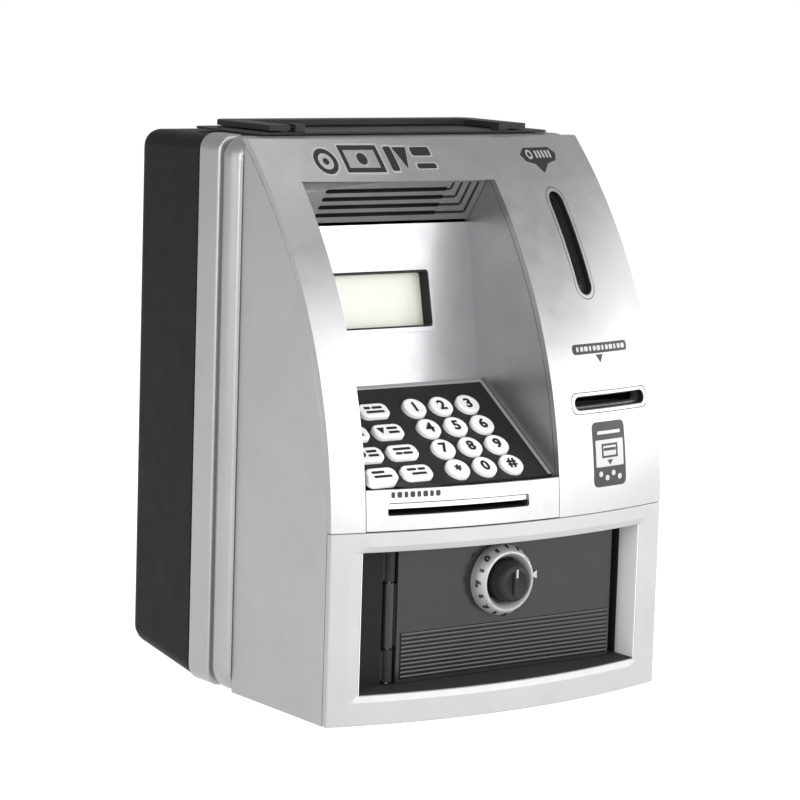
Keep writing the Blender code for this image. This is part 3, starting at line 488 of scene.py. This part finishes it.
def key_cap(node, turn, size, radius):
    """A key with a soft rim and a shallow dish in its top, in the space of its CAD solid."""
    builder = bmesh.new()
    rows = []
    for inset, height in KEY_ROWS:
        points = rounded_points((size[0] - 2 * inset, size[1] - 2 * inset), max(radius - inset, 0.4))
        rows.append([turn @ (Vector((u, v, height)) * MM) for u, v in points])
    add_rows(builder, rows)
    cap = add_piece(f"{node}_cap", builder, "key_grey_plastic", node, angle=50.0)
    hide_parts(node)


def make_keys():
    for joint in frame["joints"]:
        node = joint["child"]
        if "key_" not in node:
            continue
        turn, flat_size = face_frame(node, -Vector(joint["axis"]).normalized())
        size = [side + 2 * CAD_KEY_BEVEL for side in flat_size]
        if node.startswith("key_"):
            label = node.removeprefix("key_")
            key_cap(node, turn, size, size[0] / 2 - 0.01)
            mark = glyph(SIGNS.get(label, label), 5.4, 0.35)
        else:
            key_cap(node, turn, size, FUNCTION_CORNER)
            mark = shape(FUNCTION_MARKS[node.removeprefix("function_key_")])
            bmesh.ops.scale(mark, vec=(FUNCTION_MARK_SCALE, FUNCTION_MARK_SCALE, 1.0), verts=mark.verts)
        printed(f"{node}_mark", mark, flat_on(turn), "label_black", node, lift=0.04, sunk=0.4)


def make_keypad_rim():
    """The pale lip along the keypad plate's rear and right edges."""
    press = next(joint["axis"] for joint in frame["joints"] if joint["child"] == "key_5")
    normal = -Vector(press).normalized()
    turn, (width, length) = face_frame("keypad_plate", normal)
    right, rear = width / 2, length / 2
    rims = (
        ("keypad_rim_rear", (-right, rear + 0.2, -1.9), (right, rear + 2.2, 0.4), 0.25),
        ("keypad_rim_right", (right - 1.8, -rear + 0.4, 0.05), (right, rear + 2.2, 0.5), 0.2),
    )
    for name, low, high, bevel in rims:
        slab(name, turn, low, high, "light_silver_plastic", "case", bevel)


# ---- labels on the front -----------------------------------------------------------------
HEADER_MIDDLE = 228.6  # height of the header's marks
BORDER = 0.8  # width of the pale border round them


def header_pictograms(grow):
    """A coin, a note, a card with an arrow and two bars; `grow` widens each for the border behind it."""
    marks = ring(-58.5, HEADER_MIDDLE - 1.0, 5.0 + grow, max(3.2 - grow, 0.6))
    marks.append(disc(-58.5, HEADER_MIDDLE - 1.0, 1.3 + grow * 0.5))
    marks += band_frame(-41.5, HEADER_MIDDLE, 18.0 + 2 * grow, 10.6 + 2 * grow, 1.7 + grow)
    marks.append(disc(-41.5, HEADER_MIDDLE, 2.3 + grow * 0.6))
    marks.append(bar(-27.4, HEADER_MIDDLE, 3.6 + grow, 9.6 + 2 * grow, 0.8))
    marks.append(arrow_down(-21.4, HEADER_MIDDLE + 0.2, 6.8 + 2 * grow, 8.6 + 2 * grow))
    marks.append(bar(-11.4, HEADER_MIDDLE + 2.8, 9.6 + 2 * grow, 3.4 + grow, 0.8))
    marks.append(bar(-11.4, HEADER_MIDDLE - 3.0, 9.6 + 2 * grow, 2.0 + grow, 0.8))
    return shape(marks)


# the coin label's outline, from its left end over the top and back along its pointed lower edge
COIN_PLATE = (
    (43.6, 229.4),
    (47.4, 232.0),
    (63.4, 232.0),
    (66.6, 229.4),
    (64.4, 226.6),
    (58.6, 225.4),
    (53.6, 221.6),
    (50.4, 225.4),
    (45.4, 226.6),
)
COIN_PRINT, CARD_PRINT, NOTE_PRINT = 229.2, 149.6, 95.7  # heights of the printed marks


def make_front_labels(onto):
    border = printed("header_border", header_pictograms(BORDER), onto, "light_silver_plastic", "case", 0.06)
    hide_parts("header_badge")
    printed("header_pictograms", header_pictograms(0.0), onto, "label_black", "case", 0.2)

    printed("coin_label", shape([COIN_PLATE]), onto, "label_black", "case")
    pale = ring(49.0, COIN_PRINT, 1.9, 1.1, 20)
    pale += [bar(53.4 + 2.2 * index, COIN_PRINT, 1.2, 3.0) for index in range(5)]
    printed("coin_label_print", shape(pale), onto, "light_silver_plastic", "case", 0.2)

    plate = [bar(54.2, CARD_PRINT, 35.0, 4.2, 1.4), arrow_down(52.8, 145.2, 4.4, 3.4)]
    printed("card_label", shape(plate), onto, "label_black", "case")
    dashes = [bar(39.6 + 2.65 * index, CARD_PRINT, 1.3 + 0.5 * (index % 3), 2.0) for index in range(12)]
    printed("card_label_print", shape(dashes), onto, "light_silver_plastic", "case", 0.2)

    dashes = [bar(-61.0 + 2.9 * index, NOTE_PRINT, 1.6 + 0.5 * (index % 2), 2.4) for index in range(8)]
    printed("note_label", shape(dashes), onto, "label_black", "case")


def make_sticker(onto):
    """The card slot's sticker: a dark plate with a pale middle, a small card and a row of dots."""
    low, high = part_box("card_pictogram")
    x = (low.x + high.x) / 2 / MM
    width = (high.x - low.x) / MM
    bottom, top = ((corner.z - HOUSING_LOW) / MM for corner in (low, high))
    middle = (bottom + top) / 2
    outline = bar(x, middle, width, top - bottom, 2.4)
    plate = printed("card_sticker", shape([outline]), onto, "label_black", "case")
    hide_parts("card_pictogram")
    pale = [bar(x, top - 4.6, width - 6.0, 1.4), bar(x, middle + 0.4, width - 3.0, 11.4, 0.5)]
    for index in range(4):
        pale.append(bar(x - 6.0 + 4.0 * index, bottom + 4.6 + 0.9 * (-1) ** index, 2.4, 2.4, 1.1))
    printed("card_sticker_pale", shape(pale), onto, "light_silver_plastic", "case", 0.2)
    card = band_frame(x, middle + 1.4, 10.0, 6.0, 0.9)
    card.append(bar(x, middle + 2.0, 7.6, 1.2))
    card.append(arrow_down(x, middle - 3.6, 3.4, 2.2))
    printed("card_sticker_card", shape(card), onto, "label_black", "case", 0.3)


# ---- vault door --------------------------------------------------------------------------
RIB_PITCH, RIB_PROUD = 1.8, 0.5
RIB_LOW, RIB_COUNT, RIB_STEPS = 14.6, 11, 8


def make_door_ribs():
    """Half-round ribs across the door's lower zone, as one corrugated strip."""
    low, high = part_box("vault_door")
    face = (low.y - FRONT_CORNERS) / MM
    profile = [(face + 0.2, RIB_LOW)]
    for rib in range(RIB_COUNT):
        for step in range(1, RIB_STEPS):
            angle = pi * step / RIB_STEPS
            middle = RIB_LOW + (rib + 0.5) * RIB_PITCH
            profile.append((face - RIB_PROUD * sin(angle), middle - RIB_PITCH / 2 * cos(angle)))
        profile.append((face - 0.02, RIB_LOW + (rib + 1) * RIB_PITCH))
    profile.append((face + 0.2, RIB_LOW + RIB_COUNT * RIB_PITCH))
    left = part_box("hinge_pin")[1].x / MM + 4.4
    right = high.x / MM - 1.4
    builder = bmesh.new()
    add_rows(builder, [[place(x, depth, height) for depth, height in profile] for x in (left, right)])
    add_piece("door_ribs", builder, "smoked_plastic", "door", angle=35.0)


# radius and distance behind the front, from the door to the middle of the knob's dished face
KNOB_ROWS = (
    (8.8, 12.6),
    (9.0, 11.6),
    (8.9, 6.0),
    (8.5, 2.6),
    (7.9, 1.4),
    (7.0, 0.6),
    (5.6, 0.3),
    (4.6, 1.1),
    (1.2, 1.5),
)
KNOB_FLUTES, FLUTE_DEPTH, FLUTE_STEPS = 14, 0.35, 6
FLUTE_FRONT, FLUTE_BACK = 2.0, 12.0
# how far inside the dial's edge, and how far behind its front; None is the dial's back
DIAL_PROFILE = (
    (0.0, None),
    (0.0, 4.2),
    (0.3, 3.2),
    (1.8, 0.7),
    (2.4, 0.1),
    (3.1, 0.0),
    (3.6, 0.4),
    (5.0, 2.6),
    (5.1, None),
)
DIAL_MARKS = 16  # digits and ticks by turns
DIAL_SLOPE = radians(-48)
FACING_FRONT = Matrix.Rotation(pi / 2, 4, "X")  # turns a local frame's Z to the front


def make_knob():
    """A fluted black knob with a grip bar, in a pale dial with digits and tick marks."""
    low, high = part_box("door_knob")
    axis_x, axis_z = (low.x + high.x) / 2, (low.z + high.z) / 2
    front = low.y
    steps = KNOB_FLUTES * FLUTE_STEPS
    rows = []
    for radius, back in KNOB_ROWS:
        flute = FLUTE_DEPTH if FLUTE_FRONT < back < FLUTE_BACK else 0.0
        row = []
        for step in range(steps):
            angle = 2 * pi * step / steps
            reach = (radius - flute * (1 - cos(KNOB_FLUTES * angle)) / 2) * MM
            row.append((axis_x + reach * cos(angle), front + back * MM, axis_z + reach * sin(angle)))
        rows.append(row)
    builder = bmesh.new()
    add_rows(builder, rows)
    cap = add_piece("door_knob_cap", builder, "black_plastic", "knob", angle=45.0)
    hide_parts("door_knob")
    turn = Matrix.Translation((axis_x, front, axis_z)) @ FACING_FRONT
    slab("knob_grip", turn, (-1.3, -6.4, -4.0), (1.3, 6.4, -0.05), "black_plastic", "knob", 0.5)
    slab("knob_pointer", turn, (-0.45, 2.4, -0.2), (0.45, 6.0, 0.0), "light_silver_plastic", "knob", 0.0)
    make_dial(axis_x, axis_z)


def make_dial(axis_x, axis_z):
    """The ring round the knob, its digits and ticks, and the index mark beside it on the door."""
    low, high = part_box("knob_ring")
    outer = (high.x - low.x) / 2 / MM
    loops = []
    for inside, back in DIAL_PROFILE:
        depth = high.y if back is None else low.y + back * MM
        circle = disc(0, 0, outer - inside, 96)
        loops.append([(axis_x + u * MM, depth, axis_z + v * MM) for u, v in circle])
    builder = bmesh.new()
    add_tube(builder, loops)
    dial = add_piece("knob_ring_dial", builder, "light_silver_plastic", "door", angle=40.0)
    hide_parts("knob_ring")

    middle = Matrix.Translation((axis_x, low.y, axis_z)) @ FACING_FRONT
    onto_slope = Matrix.Translation((0, (outer - 1.3) * MM, -1.75 * MM)) @ Matrix.Rotation(DIAL_SLOPE, 4, "X")
    for index in range(DIAL_MARKS):
        place_on_dial = middle @ Matrix.Rotation(-2 * pi * index / DIAL_MARKS, 4, "Z") @ onto_slope
        if index % 2:
            name = f"dial_tick_{index + 1}"
            slab(name, place_on_dial, (-0.7, -1.6, -0.5), (0.7, 1.5, 0.2), "label_black", "door", 0.0)
        else:
            number = index // 2 + 1
            digit = glyph(str(number), 4.2, 0.6)
            onto = flat_on(place_on_dial)
            printed(f"dial_digit_{number}", digit, onto, "label_black", "door", 0.12, sunk=0.4)

    door_face = Matrix.Translation((axis_x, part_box("vault_door")[0].y, axis_z)) @ FACING_FRONT
    pointer = [(outer + 1.6, 0.0), (outer + 5.0, -1.8), (outer + 5.0, 1.8)]
    printed("dial_index", shape([pointer]), flat_on(door_face), "light_silver_plastic", "door", 0.6)


# ---- slots, back and screws --------------------------------------------------------------
SCREW_RADIUS = 2.6
# share of the radius, and height from the screw's face
SCREW_ROWS = ((1.0, -1.2), (1.0, -0.5), (0.86, -0.12), (0.5, 0.05))
CROSS_LENGTH, CROSS_WIDTH = 1.2, 0.28  # shares of the screw's radius
RECESS_RADIUS, RECESS_DEPTH = 3.4, 2.4


def screw(name, centre, normal, body):
    """A domed cross-head screw: its head sits in the recess that `cut_recesses` drills."""
    turn = Matrix.Translation(centre) @ normal.to_track_quat("Z", "Y").to_matrix().to_4x4()
    rows = []
    for share, height in SCREW_ROWS:
        rows.append([turn @ (Vector((u, v, height)) * MM) for u, v in disc(0, 0, SCREW_RADIUS * share, 32)])
    builder = bmesh.new()
    add_rows(builder, rows)
    add_piece(name, builder, "plated_steel", body, angle=40.0)
    length, width = CROSS_LENGTH * SCREW_RADIUS, CROSS_WIDTH * SCREW_RADIUS
    cross = [bar(0, 0, length, width, 0.1)]
    for side in (1, -1):
        cross.append(bar(0, side * 0.38 * SCREW_RADIUS, width, 0.44 * SCREW_RADIUS, 0.1))
    printed(f"{name}_cross", shape(cross), flat_on(turn), "label_black", body, lift=0.075, sunk=0.3)


def cut_recesses(shell, centres, normal):
    """Drill round blind recesses in a shell for its screws, before its edges are rounded."""
    cutters = []
    for centre in centres:
        turn = Matrix.Translation(centre) @ normal.to_track_quat("Z", "Y").to_matrix().to_4x4()
        circle = disc(0, 0, RECESS_RADIUS, 32)
        builder = bmesh.new()
        ends = (-RECESS_DEPTH, 3.0)
        add_rows(builder, [[turn @ (Vector((u, v, height)) * MM) for u, v in circle] for height in ends])
        bmesh.ops.recalc_face_normals(builder, faces=builder.faces)
        mesh = bpy.data.meshes.new("drill")
        builder.to_mesh(mesh)
        builder.free()
        cutter = bpy.data.objects.new("drill", mesh)
        bpy.context.scene.collection.objects.link(cutter)
        cutters.append(cutter)
        hole = shell.modifiers.new("recess", "BOOLEAN")
        hole.operation = "DIFFERENCE"
        hole.object = cutter
    rounding = shell.modifiers["rounded_edges"]
    width = rounding.width
    shell.modifiers.remove(rounding)
    drilled = bpy.data.meshes.new_from_object(shell.evaluated_get(bpy.context.evaluated_depsgraph_get()))
    shell.modifiers.clear()
    shell.data = drilled
    drilled.shade_smooth()
    drilled.set_sharp_from_angle(angle=radians(SHARP_ANGLE))
    round_edges(shell, width)
    for cutter in cutters:
        bpy.data.objects.remove(cutter)


def make_back(cover):
    """Screws in the rear cover's corners, and grip lines on the battery door."""
    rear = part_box("rear_cover")[1].y
    corners = [(side * 70.0, height) for side in (-1, 1) for height in (22.0, 214.0)]
    centres = [Vector((x * MM, rear, HOUSING_LOW + height * MM)) for x, height in corners]
    cut_recesses(cover, centres, BACKWARD)
    for index, centre in enumerate(centres):
        screw(f"cover_screw_{index + 1}", centre - BACKWARD * 1.6 * MM, BACKWARD, "case")
    low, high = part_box("battery_door")
    middle = (low.x + high.x) / 2
    turn = Matrix.Translation((middle, high.y - 0.42 * MM, high.z)) @ Matrix.Rotation(-pi / 2, 4, "X")
    for index in range(5):
        drop = 6.0 + 2.2 * index
        ends = (-9.0, drop - 0.5, -0.3), (9.0, drop + 0.5, 0.35)
        slab(f"battery_door_grip_{index + 1}", turn, *ends, "charcoal_plastic", "case", 0.2)


def spaced(low, high, steps):
    return [low + (high - low) * step / steps for step in range(steps + 1)]


def make_note_flap():
    """The pale dust flap that hangs in the upper half of the note slot."""
    low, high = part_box("bill_guide")
    rows = []
    for x in spaced(low.x / MM + 2.6, high.x / MM - 2.6, 24):
        depth = front_depth(x, 91.0) + 1.6
        section = ((depth, 91.8), (depth + 0.5, 91.8), (depth + 0.5, 89.9), (depth, 89.7))
        rows.append([place(x, *point) for point in section])
    builder = bmesh.new()
    add_rows(builder, rows)
    add_piece("note_slot_flap", builder, "key_grey_plastic", "case", 0.1)


SLOT_COUNT, SLOT_PITCH = 4, 4.4
SLOT_X, SLOT_LENGTH, SLOT_WIDTH = -29.5, 63.0, 2.0  # the sound slots' middle and size
LINE_WIDTH = 1.4
GRILLE_NORMAL = Vector((0, -18.6, -13.35)).normalized()


def make_grille_lines():
    """Black linings of the sound slots, and painted lines that run on from them and turn forward."""
    turn, (width, length) = face_frame("speaker_grille", GRILLE_NORMAL)
    right, rear, high = width / 2, -length / 2, length / 2 - 2.4
    slot_middle = SLOT_X - turn.translation.x / MM
    slot_end = slot_middle + SLOT_LENGTH / 2
    steps, returns = [], []
    builder = bmesh.new()
    for index in range(SLOT_COUNT):
        low = rear + 4.2 + SLOT_PITCH * index
        edge = right - 4.0 - SLOT_PITCH * index
        steps.append(bar(edge, (low + high) / 2, LINE_WIDTH, high - low, 0.1))
        returns.append(bar((slot_end + edge) / 2, low, edge - slot_end, LINE_WIDTH, 0.1))
        walls = []
        for grow, out in ((0.3, 0.04), (-0.4, 0.04), (-0.4, -1.9), (0.3, -1.9)):
            outline = rounded_points((SLOT_LENGTH + grow, SLOT_WIDTH + grow), 0.99 + grow / 2)
            walls.append([turn @ (Vector((slot_middle + u, low + v, out)) * MM) for u, v in outline])
        add_tube(builder, walls)
    add_piece("sound_slot_linings", builder, "label_black", "case")
    printed("grille_steps", shape(steps), flat_on(turn), "label_black", "case", 0.08)
    printed("grille_returns", shape(returns), flat_on(turn), "label_black", "case", 0.06)


def make_brow_lining():
    """A skin inside the brow's left end, down to where the grille plate meets the front."""
    front, back, top = 4.2, 5.2, 224.0  # behind the brow's outer face, and the lining's top
    rows = []
    for x in spaced(-75.6, -36.6, 12):
        heights = [208.0 + 0.25 * step for step in range(60)]
        foot = next(z for z in heights if front_depth(x, z) + front > 59.2 - 0.718 * (z - 201.1))
        corners = ((foot, front), (top, front), (top, back), (foot, back))
        rows.append([place(x, front_depth(x, z) + behind, z) for z, behind in corners])
    builder = bmesh.new()
    add_rows(builder, rows)
    add_piece("brow_lining", builder, "silver_plastic", "case")


DISPLAY_LEAN = radians(12.2)
# how far outside the lens, how far in front of it, and the corner radius
GASKET_LOOPS = ((0.14, 0.05, 1.6), (0.14, 6.1, 1.6), (-0.45, 6.1, 1.0), (-0.45, 0.05, 1.0))


def make_display_gasket():
    """A dark frame round the display's lens that runs forward over the window's walls: a real gasket at the
    lens, and painted shade on the walls in front of it.
    """
    turn, (width, height) = face_frame("lcd_lens", Vector((0, -cos(DISPLAY_LEAN), sin(DISPLAY_LEAN))))
    loops = []
    for grow, out, radius in GASKET_LOOPS:
        outline = rounded_points((width + 2 * grow, height + 2 * grow), radius)
        loops.append([turn @ (Vector((u, v, out)) * MM) for u, v in outline])
    builder = bmesh.new()
    add_tube(builder, loops)
    add_piece("window_gasket_and_shade", builder, "dark_rubber", "case")


# name, centre (x, height), dish (width, height), slit (width, height) and depth of the dish, in mm
DISHED_SLOTS = (
    ("coin_slot_lining", (53.2, 192.75), (8.6, 42.9), (3.6, 36.5), 3.5),
    ("card_slot_lining", (56.2, 127.4), (45.4, 6.0), (42.0, 4.0), 3.0),
)


def make_slot_lining(name, centre, dish, slit, depth):
    """Black lining of a dished slot, which follows the bowed and leaning front."""
    walls = []
    for size, grow, back in (
        (dish, 0.2, 0.5),
        (dish, -0.7, 0.5),
        (dish, -0.7, depth - 0.2),
        (slit, 0.1, depth - 0.2),
        (slit, 0.1, depth + 0.1),
        (dish, 0.2, depth + 0.1),
    ):
        width, height = size[0] + grow, size[1] + grow
        outline = split_sides(rounded_points((width, height), min(width, height) / 2 - 0.01))
        points = [(centre[0] + u, centre[1] + v) for u, v in outline]
        walls.append([place(x, front_depth(x, z) + back, z) for x, z in points])
    builder = bmesh.new()
    add_tube(builder, walls)
    add_piece(name, builder, "label_black", "case")


REVEAL_CHANGE, REVEAL_END = 9.8, 16.8  # depths where the painted light on the opening's upright walls stops and the painted shade behind it ends


def make_reveal_faces():
    """A pale facing on the two upright walls of the door opening, in front of the dark lining: painted light,
    for the light those walls catch.
    """
    thick, bottom, top = 0.3, 12.6, 71.9
    lip = front_depth(OPENING_HALF, bottom) + 1.1
    for name, side in (("left", -1), ("right", 1)):
        outer, inner = side * OPENING_HALF, side * (OPENING_HALF - thick)
        section = ((outer, bottom), (inner, bottom), (inner, top), (outer, top))
        builder = bmesh.new()
        add_rows(builder, [[place(x, depth, z) for x, z in section] for depth in (lip, REVEAL_CHANGE)])
        add_piece(f"reveal_wall_painted_light_{name}", builder, "key_grey_plastic", "case")


def make_post_facing():
    """A dark sheet on the front of the hinge post, beside the door: painted shade, for the shadow the post
    lies in.
    """
    turn = Matrix.Translation(place(0, 0, 0))
    front = (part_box("hinge_post")[0].y - FRONT_CORNERS) / MM
    ends = (-73.2, front - 0.12, 13.4), (-56.8, front + 0.1, 71.1)
    slab("post_painted_shade", turn, *ends, "charcoal_plastic", "case", 0.05)


def make_reveal_liner():
    """A dark lining at the deep end of the door opening, behind the silver frame: painted shade, for the
    shadow in the gap round the door.
    """
    low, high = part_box("vault_door")
    bottom, top = (low.z - HOUSING_LOW) / MM - 0.5, (high.z - HOUSING_LOW) / MM + 0.5
    half, thick = OPENING_HALF, 0.35
    walls = {
        "left": ((-half, bottom), (-half + thick, top)),
        "right": ((half - thick, bottom), (half, top)),
        "top": ((-half, top - thick), (half, top)),
    }
    for side, corners in walls.items():
        section = block(*corners[0], *corners[1])
        builder = bmesh.new()
        add_rows(builder, [[place(x, depth, z) for x, z in section] for depth in (REVEAL_CHANGE, REVEAL_END)])
        add_piece(f"reveal_gap_painted_shade_{side}", builder, "dark_rubber", "case")
    rows = []
    for x in spaced(-half, half, 24):
        lip = front_depth(x, bottom) + 1.4
        rows.append([place(x, *point) for point in block(lip, bottom, REVEAL_END, bottom + thick)])
    builder = bmesh.new()
    add_rows(builder, rows)
    add_piece("reveal_gap_painted_shade_bottom", builder, "dark_rubber", "case")


# ---- stage and lights --------------------------------------------------------------------
def make_stage():
    bpy.ops.mesh.primitive_plane_add(size=6.0, location=(0, 0, CAD_BOX[0].z))
    floor = bpy.context.object
    floor.name = "floor"
    paper = moulded("floor_paper", (0.35, 0.35, 0.35), 0.7, grain=2.0, depth=0.02, mottle=0.005, specular=0.2)
    shader = paper.node_tree.nodes["Principled BSDF"]
    shader.inputs["Emission Color"].default_value = (1.0, 1.0, 1.0, 1.0)
    shader.inputs["Emission Strength"].default_value = 0.95
    floor.data.materials.append(paper)


def make_world():
    """An even grey surround to light the bank, pure white where the camera sees it."""
    world = bpy.data.worlds.new("studio")
    bpy.context.scene.world = world
    world.use_nodes = True
    nodes, links = world.node_tree.nodes, world.node_tree.links
    background = nodes["Background"]
    background.inputs["Color"].default_value = (1.0, 1.0, 1.0, 1.0)
    seen = nodes.new("ShaderNodeLightPath")
    choose = nodes.new("ShaderNodeMix")
    links.new(seen.outputs["Is Camera Ray"], choose.inputs["Factor"])
    choose.inputs["A"].default_value = 0.5
    choose.inputs["B"].default_value = 1.0
    links.new(choose.outputs["Result"], background.inputs["Strength"])
    bpy.context.scene.view_settings.view_transform = "Standard"


LIGHT_DISTANCE = 1.2
# name, azimuth, elevation, (width, height) in metres, power in watts
SOFTBOXES = (
    ("front_low", 10.0, 8.0, (1.0, 0.5), 7.0),
    ("front_high", 10.0, 30.0, (1.0, 0.5), 4.5),
    ("right_low", 50.0, 8.0, (1.0, 0.5), 5.5),
    ("right_side", 85.0, 15.0, (0.8, 0.6), 3.5),
    ("left_front", -60.0, 15.0, (0.8, 0.6), 7.0),
    ("left_side", -110.0, 10.0, (0.8, 0.6), 1.5),
    ("overhead", 0.0, 80.0, (0.8, 0.8), 2.0),
)


def softbox(name, azimuth, elevation, size, power):
    """A soft light at a compass place round the bank; azimuth 0 is in front, 90 to its right."""
    data = bpy.data.lights.new(name, "AREA")
    data.shape = "RECTANGLE"
    data.size, data.size_y = size
    data.energy = power
    lamp = bpy.data.objects.new(name, data)
    bpy.context.scene.collection.objects.link(lamp)
    turn, climb = radians(azimuth), radians(elevation)
    away = Vector((sin(turn) * cos(climb), -cos(turn) * cos(climb), sin(climb)))
    lamp.location = Vector((0, 0, 0.12)) + away * LIGHT_DISTANCE
    lamp.rotation_euler = away.to_track_quat("Z", "Y").to_euler()
    lamp.visible_camera = False


# ---- assembly ----------------------------------------------------------------------------
make_camera()
MATERIALS = make_materials()
for node, obj in NODES.items():
    obj.data.materials.clear()
    obj.data.materials.append(MATERIALS[SLOT_OF[node]])

EDGE_WIDTHS = {
    "front_bezel": 1.1,
    "front_housing": 0.6,
    "door_frame": 0.6,
    "mid_ring": 0.4,
    "rear_cover": 0.5,
    "recess_liner": 0.5,
    "speaker_grille": 0.25,
    "lcd_lens": 0.2,
    "keypad_plate": 0.3,
    "coin_slot_bezel": 0.25,
    "card_slot_bezel": 0.25,
    "vault_door": 0.45,
    "hinge_post": 0.4,
    "carry_handle": 0.3,
    "handle_base": 0.2,
    "battery_door": 0.25,
    "vault_box": 0.4,
    "foot_front_left": 0.2,
    "foot_front_right": 0.2,
    "foot_rear_left": 0.2,
    "foot_rear_right": 0.2,
}
SHELLS = {node: rounded_copy(node, width) for node, width in EDGE_WIDTHS.items()}
on_front = draped_on([SHELLS["front_bezel"], SHELLS["recess_liner"], SHELLS["door_frame"]])
make_keys()
make_keypad_rim()
make_front_labels(on_front)
make_sticker(on_front)
make_door_ribs()
make_knob()
make_back(SHELLS["rear_cover"])
make_note_flap()
make_grille_lines()
make_brow_lining()
# a real gasket round the lens, with painted shade on the display window's walls
make_display_gasket()
for dished_slot in DISHED_SLOTS:
    make_slot_lining(*dished_slot)
# painted light: pale facings on the door opening's upright walls
make_reveal_faces()
# painted shade: a dark sheet on the hinge post's front
make_post_facing()
# painted shade: dark linings deep in the gap round the door
make_reveal_liner()
make_stage()
make_world()
for light in SOFTBOXES:
    softbox(*light)
